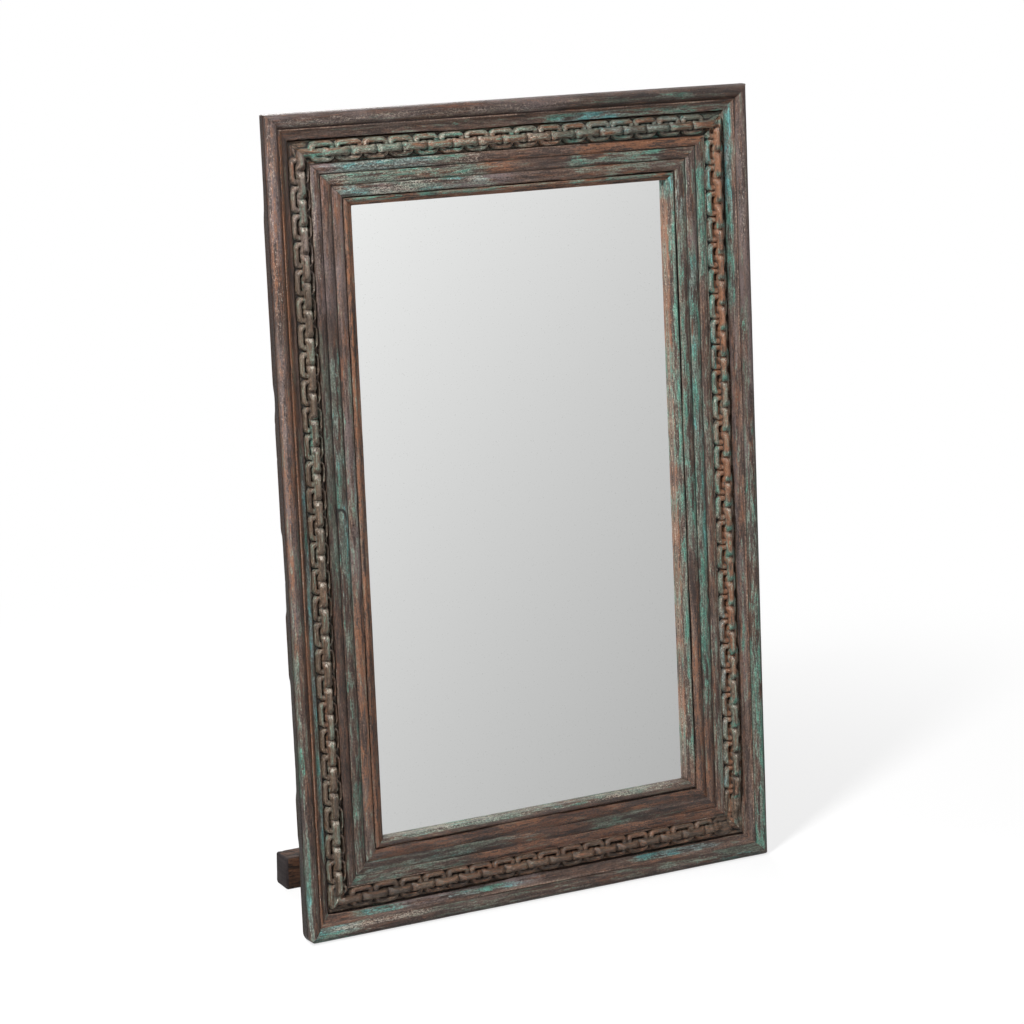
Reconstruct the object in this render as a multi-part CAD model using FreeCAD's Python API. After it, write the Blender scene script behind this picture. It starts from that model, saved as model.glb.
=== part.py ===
import FreeCAD, Part
import math
import os

# A floor mirror in a carved wooden frame, which leans back on a hinged rear stand.
# Each moulding is worked out along one straight side: x runs along the side, z from the frame's
# outer edge towards the glass, y from the front crest of the edge bead to the back.
# The four sides are then turned round the frame, and the frame is leaned back over the floor.

Vector = FreeCAD.Vector

# Whole frame
frame_width = 940.0
frame_height = 1420.0
lean_angle = 5.0
planed_edge = 1.0          # height planed off the lower back edge, so that it stands flat
corner_rounds = {"bottom_left": 20.0, "bottom_right": 13.0, "top_right": 4.0, "top_left": 5.0}

# Outer moulding: half-round edge bead, ridge and cove
outer_board_width = 48.0
outer_board_depth = 28.0
bead_radius = 13.0
bead_groove = 9.5          # depth of the groove between bead and ridge
ridge_width = 4.5
ridge_front = 7.2
cove_edge = 13.5           # depth at which the cove meets the chain
cove_hollow = 2.0

# Chain strip
chain_strip_width = 39.0
chain_ground = 20.0        # depth of the ground that the chain is carved from
link_front = 9.5           # front of the links that lie flat
link_width = 37.0
link_bar = 8.5
link_corner = 10.0
link_gap = 1.2
link_chamfer = 2.2
link_bite = 1.0            # how far the relief is rooted in the ground
hole_corner = 5.0
upright_width = 11.0
upright_front = 5.5        # front of the links that stand on edge
upright_side = 11.5
upright_end = 9.0
upright_slope = 6.0
upright_gap = 0.8
leaf_length = 40.0
leaf_width = 15.0
leaf_front = 12.5
chain_starts = {"left": 74.0, "right": 88.0, "top": 87.0, "bottom": 90.0}
chain_ends = {"left": 52.0, "right": 50.0, "top": 87.0, "bottom": 67.0}
chain_counts = {"left": 28, "right": 28, "top": 16, "bottom": 17}

# Inner moulding: three bands
inner_board_width = 61.0
band_widths = [17.0, 19.0, 21.0]
band_fronts = [12.5, 14.0, 16.0]
band_edges = [15.5, 17.5, 18.5]
groove_width = 2.0
groove_depths = [18.5, 20.0]
inner_edge = 20.5          # depth at which the third band ends

# Sight bead
sight_bead_width = 14.0
sight_bead_edge = 22.5
sight_crest_front = 19.5
sight_crest_width = 6.5
sight_slope_edge = 27.5
glass_front = 39.0

# Mirror, glazing strips, backing board
glass_thickness = 5.0
glass_clearance = 2.0
glazing_strip_width = 12.0
backing_thickness = 4.0
backing_lap = 48.0         # how far the backing board laps onto the back frame

# Back frame
back_frame_inset = 30.0
back_frame_thickness = 22.0
peg_radius = 5.0
peg_spread = 30.0          # distance of the two pegs of a corner from its middle
fit_gap = 0.05             # gap round screws and pegs in their holes

# Screws
moulding_screw_reach = 5.0
screw_radius = 2.0
screw_head_radius = 4.0
screw_head_height = 2.6
screw_slot_width = 1.0
screw_slot_depth = 1.0
backing_screw_length = 18.0
rail_screw_radius = 2.75
rail_screw_head_radius = 5.5
rail_screw_head_height = 3.5
rail_screw_reach = 15.0    # how far the hinge rail's screws reach into the stiles
leaf_screw_radius = 1.75
leaf_screw_head_radius = 3.4
leaf_screw_head_height = 2.2
leaf_screw_length = 22.0

# Hinge rail
hinge_rail_bottom = 1002.0
hinge_rail_height = 60.0
hinge_rail_depth = 52.0
hinge_rail_inset = 105.0   # from the frame's side to the rail's end
hinge_rail_screw_inset = 20.0
hinge_rail_screw_spread = 18.0

# Stand
spread_angle = 12.0        # between the frame's back and the legs, opened
leg_inset = 150.0
leg_width = 44.0
leg_thickness = 28.0
foot_inset = 78.0
foot_height = 60.0
foot_depth = 48.0
foot_round = 4.0
foot_setback = 5.0         # foot in front of the legs at its top
tenon_length = 38.0
tenon_shoulder = 6.0
stretcher_height = 60.0
stretcher_thickness = 18.0
stretcher_rise = 400.0     # from the floor to the stretcher's middle
stretcher_tenon = 20.0
stretcher_cheek = 4.5      # taken off each face of the stretcher at its tenons
stand_peg_radius = 4.0

# Hinges
leaf_width_x = 40.0
leaf_depth = 25.0
leaf_thickness = 3.0
leaf_gap = 0.3             # between the closed leaves, and round the knuckles
hinge_pin_radius = 1.5
hinge_pin_head_radius = 2.4
hinge_pin_head = 1.5
hinge_set_back = 12.0      # from the rail's front to the pin
knuckle_count = 5
leg_front_gap = 0.8        # between knuckles and legs
leaf_screw_spread = 11.0

# Shares of a length
half_share = 0.5
screw_ends_share = 0.12    # first screw of a row from the row's end

# Cuts, turns and counts
overrun = 2.0              # how far cutting tools run past a face
quarter_turn = 90.0
long_row = 5               # moulding screws in a row along an upright side
short_row = 3              # moulding screws in a row along the top or bottom
backing_row = 4            # backing screws along each side, between the moulding screws
every_other = 2
sides = ["bottom", "right", "top", "left"]
side_turns = {"bottom": 0, "right": -1, "top": 2, "left": 1}

# Worked out from the sizes above
chain_outer = outer_board_width
chain_inner = chain_outer + chain_strip_width
inner_outer = chain_inner
inner_inner = inner_outer + inner_board_width
sight_line = inner_inner + sight_bead_width
chain_middle = chain_outer + chain_strip_width * half_share
back_frame_back = outer_board_depth + back_frame_thickness
board_back = back_frame_back + backing_thickness
glass_back = glass_front + glass_thickness
back_member_width = inner_inner - back_frame_inset
board_inset = inner_inner - backing_lap
lean = math.radians(lean_angle)
leg_tilt = math.radians(spread_angle - lean_angle)
floor_level = planed_edge - outer_board_depth * math.sin(lean)
knuckle_radius = leaf_thickness + leaf_gap * half_share - leaf_gap
pin_y = board_back + hinge_set_back
pin_z = hinge_rail_bottom - leaf_thickness - leaf_gap * half_share
x_axis = Vector(1, 0, 0)
y_axis = Vector(0, 1, 0)
z_axis = Vector(0, 0, 1)


def side_length(side):
    return frame_height if side in ("left", "right") else frame_width


def row_count(side):
    """Number of moulding screws in one row along a side."""
    return long_row if side in ("left", "right") else short_row


def line(start, end):
    """Straight edge in the section of a side, from one (z, y) point to another."""
    return Part.LineSegment(Vector(0, start[1], start[0]), Vector(0, end[1], end[0])).toShape()


def arc(start, middle, end):
    """Arc in the section of a side through three (z, y) points."""
    a, b, c = [Vector(0, p[1], p[0]) for p in (start, middle, end)]
    return Part.Arc(a, b, c).toShape()


def flat_face(points):
    """Face of straight edges through points in order."""
    return Part.Face(Part.makePolygon(list(points) + [points[0]]))


def box(x0, x1, y0, y1, z0, z1):
    return Part.makeBox(x1 - x0, y1 - y0, z1 - z0, Vector(x0, y0, z0))


def to_side(shape, side):
    """Turn a side's piece from its own direction to its place in the frame."""
    turned = shape.copy()
    turned.rotate(Vector(0, 0, 0), y_axis, side_turns[side] * quarter_turn)
    corner = {
        "bottom": Vector(0, 0, 0),
        "right": Vector(frame_width, 0, 0),
        "top": Vector(frame_width, 0, frame_height),
        "left": Vector(0, 0, frame_height),
    }[side]
    turned.translate(corner)
    return turned


def mitre_block(length, far, y0, y1):
    """Block between the two mitre planes of a side, from its outer edge to the distance far."""
    points = [
        Vector(0, y0, 0),
        Vector(length, y0, 0),
        Vector(length - far, y0, far),
        Vector(far, y0, far),
    ]
    return flat_face(points).extrude(Vector(0, y1 - y0, 0))


def mitred(section, side):
    """Moulding of one section along a side, mitred at both ends."""
    length = side_length(side)
    bounds = section.BoundBox
    bar = section.extrude(Vector(length, 0, 0))
    block = mitre_block(length, bounds.ZMax + overrun, bounds.YMin - overrun, bounds.YMax + overrun)
    return bar.common(block).Solids[0]


def outer_section():
    """Section of the outer moulding."""
    r = bead_radius
    bead_end = r + math.sqrt(r ** 2 - (r - bead_groove) ** 2)
    ridge_end = bead_end + ridge_width
    ridge_middle = bead_end + ridge_width * half_share
    cove_middle = (ridge_end + outer_board_width) * half_share
    cove_depth = (bead_groove + cove_edge) * half_share + cove_hollow
    w, d = outer_board_width, outer_board_depth
    edges = [
        line((0, d), (0, r)),
        arc((0, r), (r, 0), (bead_end, bead_groove)),
        arc((bead_end, bead_groove), (ridge_middle, ridge_front), (ridge_end, bead_groove)),
        arc((ridge_end, bead_groove), (cove_middle, cove_depth), (w, cove_edge)),
        line((w, cove_edge), (w, d)),
        line((w, d), (0, d)),
    ]
    return Part.Face(Part.Wire(edges))


def inner_section():
    """Section of the inner moulding, three crowned bands with grooves between them."""
    start, end, back = inner_outer, inner_inner, outer_board_depth
    edges = [line((start, back), (start, band_edges[0]))]
    at = start
    grooves = zip(band_widths, band_fronts, band_edges, groove_depths, band_edges[1:])
    for width, front, edge, floor, following in grooves:
        stop = at + width
        far = stop + groove_width
        edges.append(arc((at, edge), ((at + stop) * half_share, front), (stop, edge)))
        edges.append(line((stop, edge), (stop, floor)))
        edges.append(line((stop, floor), (far, floor)))
        edges.append(line((far, floor), (far, following)))
        at = far
    last_middle = ((at + end) * half_share, band_fronts[-1])
    edges.append(arc((at, band_edges[-1]), last_middle, (end, inner_edge)))
    edges.append(line((end, inner_edge), (end, back)))
    edges.append(line((end, back), (start, back)))
    return Part.Face(Part.Wire(edges))


def sight_section():
    """Section of the sight bead: a small crest, a slope towards the glass and a square inner side."""
    start, end = inner_inner, sight_line
    crest_end = start + sight_crest_width
    crest_middle = start + sight_crest_width * half_share
    edges = [
        line((start, glass_front), (start, sight_bead_edge)),
        arc((start, sight_bead_edge), (crest_middle, sight_crest_front), (crest_end, sight_bead_edge)),
        line((crest_end, sight_bead_edge), (end, sight_slope_edge)),
        line((end, sight_slope_edge), (end, glass_front)),
        line((end, glass_front), (start, glass_front)),
    ]
    return Part.Face(Part.Wire(edges))


def octagon(x0, x1, z0, z1, corner, y):
    """Rectangle with its corners cut off, in the plane at depth y."""
    return [
        Vector(x0 + corner, y, z0), Vector(x1 - corner, y, z0), Vector(x1, y, z0 + corner),
        Vector(x1, y, z1 - corner), Vector(x1 - corner, y, z1), Vector(x0 + corner, y, z1),
        Vector(x0, y, z1 - corner), Vector(x0, y, z0 + corner),
    ]


def flat_link(start, pitch):
    """One link that lies flat, with its hole, rooted in the ground."""
    root = chain_ground + link_bite
    low = chain_middle - link_width * half_share
    high = chain_middle + link_width * half_share
    x0 = start + link_gap * half_share
    x1 = start + pitch - link_gap * half_share
    outline = octagon(x0, x1, low, high, link_corner, root)
    ring = flat_face(outline).extrude(Vector(0, link_front - root, 0))
    top_edges = [e for e in ring.Edges if abs(e.BoundBox.YMax - link_front) < link_bite * half_share]
    ring = ring.makeChamfer(link_chamfer, top_edges)
    hole_outline = octagon(
        x0 + link_bar, x1 - link_bar, low + link_bar, high - link_bar, hole_corner, chain_ground
    )
    hole = flat_face(hole_outline).extrude(Vector(0, link_front - overrun - chain_ground, 0))
    return ring.cut(hole)


def upright_link(start, pitch):
    """One link that stands on edge: a crowned bar with sloping ends."""
    root = chain_ground + link_bite
    low = chain_middle - upright_width * half_share
    high = chain_middle + upright_width * half_share
    x0 = start + upright_gap * half_share
    x1 = start + pitch - upright_gap * half_share
    edges = [
        line((low, root), (low, upright_side)),
        arc((low, upright_side), (chain_middle, upright_front), (high, upright_side)),
        line((high, upright_side), (high, root)),
        line((high, root), (low, root)),
    ]
    bar = Part.Face(Part.Wire(edges)).extrude(Vector(x1 - x0, 0, 0))
    bar.translate(Vector(x0, 0, 0))
    side_view = [
        Vector(x0, root + overrun, low - overrun),
        Vector(x0, upright_end, low - overrun),
        Vector(x0 + upright_slope, upright_front - overrun * half_share, low - overrun),
        Vector(x1 - upright_slope, upright_front - overrun * half_share, low - overrun),
        Vector(x1, upright_end, low - overrun),
        Vector(x1, root + overrun, low - overrun),
    ]
    keep = flat_face(side_view).extrude(Vector(0, 0, high - low + overrun + overrun))
    return bar.common(keep)


def corner_leaf(at_x, way):
    """Carved leaf on the mitre line where two chains meet, turned one way or the other."""
    root = chain_ground + link_bite
    reach = leaf_length * half_share
    swell = leaf_width * half_share
    tip = Vector(at_x - reach, root, chain_middle)
    far_tip = Vector(at_x + reach, root, chain_middle)
    upper = Vector(at_x, root, chain_middle + swell)
    lower = Vector(at_x, root, chain_middle - swell)
    outline = Part.Wire([Part.Arc(tip, upper, far_tip).toShape(), Part.Arc(far_tip, lower, tip).toShape()])
    leaf = Part.Face(outline).extrude(Vector(0, leaf_front - root, 0))
    leaf.rotate(Vector(at_x, 0, chain_middle), y_axis, way * quarter_turn * half_share)
    return leaf


def chain_strip(side):
    """Strip with the whole chain of one side carved in relief."""
    length = side_length(side)
    first = chain_starts[side]
    count = chain_counts[side]
    pitch = (length - first - chain_ends[side]) / count
    ground = box(0, length, chain_ground, outer_board_depth, chain_outer, chain_inner)
    relief = [corner_leaf(chain_middle, -1), corner_leaf(length - chain_middle, 1)]
    for number in range(count):
        at = first + number * pitch
        relief.append(flat_link(at, pitch))
        if number:
            relief.append(upright_link(at - pitch * half_share, pitch))
    relief.append(upright_link(first - pitch * half_share, pitch))
    carved = ground.multiFuse(relief)
    block = mitre_block(length, chain_inner + overrun, 0, outer_board_depth + overrun)
    within = box(0, length, 0, outer_board_depth, chain_outer, chain_inner)
    return carved.common(block).common(within)


def rounded_outline():
    """Block of the frame's outline, with its worn corners."""
    w, h = frame_width, frame_height
    corners = [
        ("bottom_left", 0, 0, 1, 1),
        ("bottom_right", w, 0, -1, 1),
        ("top_right", w, h, -1, -1),
        ("top_left", 0, h, 1, -1),
    ]
    stops = []
    for name, x, z, along_x, along_z in corners:
        r = corner_rounds[name]
        bulge = r - r * math.sqrt(half_share)
        on_x = Vector(x + along_x * r, -overrun, z)
        on_z = Vector(x, -overrun, z + along_z * r)
        middle = Vector(x + along_x * bulge, -overrun, z + along_z * bulge)
        forward = name in ("bottom_right", "top_left")
        stops.append((on_x, middle, on_z) if forward else (on_z, middle, on_x))
    edges = []
    for (start, middle, end), following in zip(stops, stops[1:] + stops[:1]):
        edges.append(Part.Arc(start, middle, end).toShape())
        edges.append(Part.LineSegment(end, following[0]).toShape())
    return Part.Face(Part.Wire(edges)).extrude(Vector(0, outer_board_depth + overrun + overrun, 0))


def screw(at, direction, radius, head_radius, head_height, length, gap=0.0, slot=True):
    """Countersunk screw with its head's face at a point, driven in a direction."""
    head = Part.makeCone(head_radius + gap, radius + gap, head_height + gap, at, direction)
    shank = Part.makeCylinder(radius + gap, length + gap, at, direction)
    whole = head.fuse(shank).removeSplitter()
    if slot:
        across = box(-head_radius - overrun, head_radius + overrun,
                     -screw_slot_width * half_share, screw_slot_width * half_share,
                     -overrun, screw_slot_depth)
        turn = FreeCAD.Rotation(z_axis, direction)
        across.Placement = FreeCAD.Placement(at, turn)
        whole = whole.cut(across)
    return whole


def row_places(length, count, inset):
    """Places of a row of screws along a length, evenly spaced between two insets."""
    span = length - inset - inset
    numbers = range(count)
    return [inset + span * number / numbers[-1] for number in numbers]


def moulding_screw_places():
    """Places of the screws that hold the three mouldings, each with the side that it is on."""
    rows = [
        (back_frame_inset + outer_board_width) * half_share,
        chain_middle,
        (inner_outer + inner_inner) * half_share,
    ]
    places = []
    for side in sides:
        length = side_length(side)
        inset = length * screw_ends_share + inner_inner * half_share
        for z in rows:
            for x in row_places(length, row_count(side), inset):
                places.append((side, x, z))
    return places


def moulding_screws(gap=0.0, slot=True):
    """Screws through the back frame into the mouldings."""
    shapes = []
    for side, x, z in moulding_screw_places():
        length = back_frame_thickness + moulding_screw_reach
        made = screw(Vector(x, back_frame_back, z), -y_axis, screw_radius, screw_head_radius,
                     screw_head_height, length, gap, slot)
        shapes.append(to_side(made, side))
    return shapes


def half_lap_members():
    """Stiles and rails of the back frame, halved into each other at the corners."""
    i, w = back_frame_inset, back_member_width
    front, back = outer_board_depth, back_frame_back
    middle = (front + back) * half_share
    right, top = frame_width - i, frame_height - i
    stile_left = box(i, i + w, front, back, i, top)
    stile_right = box(right - w, right, front, back, i, top)
    rail_bottom = box(i, right, front, back, i, i + w)
    rail_top = box(i, right, front, back, top - w, top)
    laps_front = [box(x, x + w, front - overrun, middle, z, z + w)
                  for x in (i, right - w) for z in (i, top - w)]
    laps_back = [box(x, x + w, middle, back + overrun, z, z + w)
                 for x in (i, right - w) for z in (i, top - w)]
    members = {
        "back_stile_left": stile_left.cut(laps_front[0]).cut(laps_front[1]),
        "back_stile_right": stile_right.cut(laps_front[2]).cut(laps_front[3]),
        "back_rail_bottom": rail_bottom.cut(laps_back[0]).cut(laps_back[2]),
        "back_rail_top": rail_top.cut(laps_back[1]).cut(laps_back[3]),
    }
    return members


def corner_pegs(gap=0.0):
    """Two wooden pegs through each half-lapped corner."""
    pegs = []
    middle = back_frame_inset + back_member_width * half_share
    for x in (middle, frame_width - middle):
        for z in (middle, frame_height - middle):
            for side in (-1, 1):
                at = Vector(x + side * peg_spread, outer_board_depth, z - side * peg_spread)
                pegs.append(Part.makeCylinder(peg_radius + gap, back_frame_thickness, at, y_axis))
    return pegs


def glass():
    """Mirror glass, a little smaller than the back frame's opening."""
    e = inner_inner + glass_clearance
    return box(e, frame_width - e, glass_front, glass_back, e, frame_height - e)


def glazing_strips():
    """Strips that hold the glass from behind, against the back frame's inner edges."""
    e, w = inner_inner, glazing_strip_width
    y0, y1 = glass_back, back_frame_back
    right, top = frame_width - e, frame_height - e
    return {
        "glazing_strip_left": box(e, e + w, y0, y1, e, top),
        "glazing_strip_right": box(right - w, right, y0, y1, e, top),
        "glazing_strip_bottom": box(e + w, right - w, y0, y1, e, e + w),
        "glazing_strip_top": box(e + w, right - w, y0, y1, top - w, top),
    }


def backing_board():
    e = board_inset
    return box(e, frame_width - e, back_frame_back, board_back, e, frame_height - e)


def backing_screws(gap=0.0, slot=True):
    """Screws round the backing board's edge into the back frame."""
    inset = board_inset + backing_lap * half_share * half_share
    shapes = []
    for side in sides:
        length = side_length(side)
        ends = length * screw_ends_share + board_inset * half_share
        for x in row_places(length, backing_row, ends):
            made = screw(Vector(x, board_back, inset), -y_axis, screw_radius, screw_head_radius,
                         screw_head_height, backing_screw_length, gap, slot)
            shapes.append(to_side(made, side))
    return shapes


def hinge_rail():
    i = hinge_rail_inset
    return box(i, frame_width - i, board_back, board_back + hinge_rail_depth,
               hinge_rail_bottom, hinge_rail_bottom + hinge_rail_height)


def hinge_rail_screws(gap=0.0, slot=True):
    """Two long screws at each end of the hinge rail into the stiles."""
    middle = hinge_rail_bottom + hinge_rail_height * half_share
    face = board_back + hinge_rail_depth
    length = hinge_rail_depth + backing_thickness + rail_screw_reach
    edge = hinge_rail_inset + hinge_rail_screw_inset
    shapes = []
    for x in (edge, frame_width - edge):
        for up in (-1, 1):
            at = Vector(x, face, middle + up * hinge_rail_screw_spread)
            shapes.append(screw(at, -y_axis, rail_screw_radius, rail_screw_head_radius,
                                rail_screw_head_height, length, gap, slot))
    return shapes


def leg_middles():
    """Middle of each leg and hinge, by side."""
    middle = leg_inset + leg_width * half_share
    return {"left": middle, "right": frame_width - middle}


def knuckles(middle, fixed):
    """Barrel pieces of one leaf, every other one of the hinge's knuckles."""
    step = leaf_width_x / knuckle_count
    first = middle - leaf_width_x * half_share + leaf_gap * half_share
    shapes = []
    for number in range(0 if fixed else 1, knuckle_count, every_other):
        at = Vector(first + number * step, pin_y, pin_z)
        shapes.append(Part.makeCylinder(knuckle_radius, step - leaf_gap, at, x_axis))
    return shapes


def hinge_leaf(middle, fixed):
    """One leaf with its knuckles, bored for the pin and cleared for the other leaf's knuckles."""
    way = 1 if fixed else -1
    near = pin_z + way * leaf_gap * half_share
    far = near + way * leaf_thickness
    x0 = middle - leaf_width_x * half_share
    plate = box(x0, x0 + leaf_width_x, pin_y, pin_y + leaf_depth, min(near, far), max(near, far))
    clearances = []
    for barrel in knuckles(middle, not fixed):
        at = Vector(barrel.BoundBox.XMin - leaf_gap, pin_y, pin_z)
        length = barrel.BoundBox.XLength + leaf_gap + leaf_gap
        clearances.append(Part.makeCylinder(knuckle_radius + leaf_gap + leaf_gap, length, at, x_axis))
    leaf = plate.cut(Part.Compound(clearances)).multiFuse(knuckles(middle, fixed)).removeSplitter()
    bore = Part.makeCylinder(hinge_pin_radius + fit_gap, leaf_width_x + overrun + overrun,
                             Vector(x0 - overrun, pin_y, pin_z), x_axis)
    return leaf.cut(bore)


def hinge_pin(middle):
    """Pin with a small head at each end."""
    start = middle - leaf_width_x * half_share - leaf_gap
    length = leaf_width_x + leaf_gap + leaf_gap
    pin = Part.makeCylinder(hinge_pin_radius, length, Vector(start, pin_y, pin_z), x_axis)
    heads = [Part.makeCylinder(hinge_pin_head_radius, hinge_pin_head, Vector(x, pin_y, pin_z), x_axis)
             for x in (start - hinge_pin_head, start + length)]
    return pin.multiFuse(heads).removeSplitter()


def leaf_screws(fixed, gap=0.0, slot=True):
    """Two screws through each leaf, up into the rail or down into the leg's end."""
    way = 1 if fixed else -1
    face = pin_z + way * leaf_gap * half_share
    y = pin_y + leaf_depth * half_share + knuckle_radius
    shapes = []
    for middle in leg_middles().values():
        for aside in (-1, 1):
            at = Vector(middle + aside * leaf_screw_spread, y, face)
            shapes.append(screw(at, z_axis * way, leaf_screw_radius, leaf_screw_head_radius,
                                leaf_screw_head_height, leaf_screw_length, gap, slot))
    return shapes


def on_floor(y, z):
    """A (y, z) point of the leaning frame, over the floor."""
    return (y * math.cos(lean) + z * math.sin(lean), z * math.cos(lean) - y * math.sin(lean))


def leaned(shape):
    """Piece of the upright frame, leaned back."""
    made = shape.copy()
    made.rotate(Vector(0, 0, 0), x_axis, -lean_angle)
    return made


def leg_front_at(z):
    """Depth of the legs' front faces at a height over the floor, with the stand opened."""
    top = on_floor(pin_y + knuckle_radius + leg_front_gap, pin_z - leaf_gap * half_share - leaf_thickness)
    return top[0] + (top[1] - z) * math.tan(leg_tilt)


def leg_thickness_level():
    """Thickness of a leg measured level."""
    return leg_thickness / math.cos(leg_tilt)


foot_top = floor_level + foot_height
foot_front = leg_front_at(foot_top) - foot_setback
tenon_bottom = foot_top - tenon_length


def sloped_bar(x0, x1, inner, outer, z_low, z_high):
    """Bar along the legs' slope, between two offsets from their front faces, cut level at both ends."""
    points = [
        Vector(x0, leg_front_at(z_high) + inner, z_high),
        Vector(x0, leg_front_at(z_high) + outer, z_high),
        Vector(x0, leg_front_at(z_low) + outer, z_low),
        Vector(x0, leg_front_at(z_low) + inner, z_low),
    ]
    return flat_face(points).extrude(Vector(x1 - x0, 0, 0))


def stand_leg(side):
    """Leg with a tenon for the foot, its top cut to lie flat under the hinge."""
    middle = leg_middles()[side]
    x0, x1 = middle - leg_width * half_share, middle + leg_width * half_share
    rise = on_floor(pin_y, hinge_rail_bottom)[1] + leg_thickness
    body = sloped_bar(x0, x1, 0, leg_thickness_level(), foot_top, rise)
    under = pin_z - leaf_gap * half_share - leaf_thickness
    above = leaned(box(x0 - overrun, x1 + overrun, pin_y - hinge_rail_depth, pin_y + hinge_rail_depth,
                       under, hinge_rail_bottom + hinge_rail_height))
    tenon = sloped_bar(x0 + tenon_shoulder, x1 - tenon_shoulder, tenon_shoulder,
                       leg_thickness_level() - tenon_shoulder, tenon_bottom, foot_top)
    return body.cut(above).fuse(tenon).removeSplitter()


def stretcher():
    """Bar between the legs with a tenon at each end."""
    middles = leg_middles()
    x0 = middles["left"] + leg_width * half_share
    x1 = middles["right"] - leg_width * half_share
    spare = (leg_thickness_level() - stretcher_thickness) * half_share
    z0 = floor_level + stretcher_rise - stretcher_height * half_share
    z1 = z0 + stretcher_height
    body = sloped_bar(x0, x1, spare, spare + stretcher_thickness, z0, z1)
    tenon = sloped_bar(x0 - stretcher_tenon, x1 + stretcher_tenon, spare + stretcher_cheek,
                       spare + stretcher_thickness - stretcher_cheek,
                       z0 + tenon_shoulder, z1 - tenon_shoulder)
    return body.fuse(tenon).removeSplitter()


def foot():
    """Foot on the floor, with its long edges rounded."""
    made = box(foot_inset, frame_width - foot_inset, foot_front, foot_front + foot_depth,
               floor_level, foot_top)
    long_edges = [e for e in made.Edges if e.BoundBox.XLength > foot_depth]
    return made.makeFillet(foot_round, long_edges)


def stand_pegs(gap=0.0):
    """Pegs through the tenons of the legs and of the stretcher."""
    pegs = []
    z_foot = (foot_top + tenon_bottom) * half_share
    z_stretcher = floor_level + stretcher_rise
    way = Vector(0, math.cos(leg_tilt), math.sin(leg_tilt))
    for side, middle in leg_middles().items():
        at = Vector(middle, foot_front, z_foot)
        pegs.append(Part.makeCylinder(stand_peg_radius + gap, foot_depth, at, y_axis))
        inward = 1 if side == "left" else -1
        x = middle + inward * (leg_width - stretcher_tenon) * half_share
        start = Vector(x, leg_front_at(z_stretcher), z_stretcher)
        pegs.append(Part.makeCylinder(stand_peg_radius + gap, leg_thickness, start, way))
    return pegs


def build_frame():
    """All pieces that stay with the frame, upright."""
    nodes = {}
    outline = rounded_outline()
    outer, inner, sight = outer_section(), inner_section(), sight_section()
    for side in sides:
        nodes["outer_moulding_" + side] = to_side(mitred(outer, side), side).common(outline)
        nodes["chain_strip_" + side] = to_side(chain_strip(side), side)
        nodes["inner_moulding_" + side] = to_side(mitred(inner, side), side)
        nodes["sight_bead_" + side] = to_side(mitred(sight, side), side)
    members = half_lap_members()
    pegs = Part.Compound(corner_pegs(fit_gap))
    screws = Part.Compound(moulding_screws(fit_gap, False))
    backing = Part.Compound(backing_screws(fit_gap, False))
    rail_screws = Part.Compound(hinge_rail_screws(fit_gap, False))
    for name, member in members.items():
        nodes[name] = member.cut(pegs).cut(screws).cut(backing).cut(rail_screws)
    for side in sides:
        for kind in ("outer_moulding_", "chain_strip_", "inner_moulding_"):
            nodes[kind + side] = nodes[kind + side].cut(screws)
    nodes["corner_pegs"] = Part.Compound(corner_pegs())
    nodes["moulding_screws"] = Part.Compound(moulding_screws())
    nodes["mirror_glass"] = glass()
    nodes.update(glazing_strips())
    nodes["backing_board"] = backing_board().cut(backing).cut(rail_screws)
    nodes["backing_screws"] = Part.Compound(backing_screws())
    leaf_holes = Part.Compound(leaf_screws(True, fit_gap, False))
    nodes["hinge_rail"] = hinge_rail().cut(rail_screws).cut(leaf_holes)
    nodes["hinge_rail_screws"] = Part.Compound(hinge_rail_screws())
    for side, middle in leg_middles().items():
        nodes["hinge_fixed_leaf_" + side] = hinge_leaf(middle, True).cut(leaf_holes)
        nodes["hinge_pin_" + side] = hinge_pin(middle)
    nodes["hinge_screws_fixed"] = Part.Compound(leaf_screws(True))
    return nodes


def build_stand():
    """All pieces of the stand, opened, over the floor."""
    nodes = {}
    leaf_holes = Part.Compound([leaned(s) for s in leaf_screws(False, fit_gap, False)])
    pegs = Part.Compound(stand_pegs(fit_gap))
    bar = stretcher()
    base = foot()
    for side, middle in leg_middles().items():
        leg = stand_leg(side)
        base = base.cut(leg)
        nodes["stand_leg_" + side] = leg.cut(bar).cut(leaf_holes).cut(pegs)
        leaf = leaned(hinge_leaf(middle, False))
        nodes["hinge_moving_leaf_" + side] = leaf.cut(leaf_holes)
    nodes["stand_foot"] = base.cut(pegs)
    nodes["stand_stretcher"] = bar.cut(pegs)
    nodes["stand_pegs"] = Part.Compound(stand_pegs())
    nodes["hinge_screws_moving"] = Part.Compound([leaned(s) for s in leaf_screws(False)])
    return nodes


def planed(shape):
    """Piece with whatever reaches below the floor taken off."""
    reach = frame_width + frame_width
    below = box(-reach, reach, -reach, reach, -reach, floor_level)
    return shape.cut(below) if shape.BoundBox.ZMin < floor_level else shape


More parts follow.
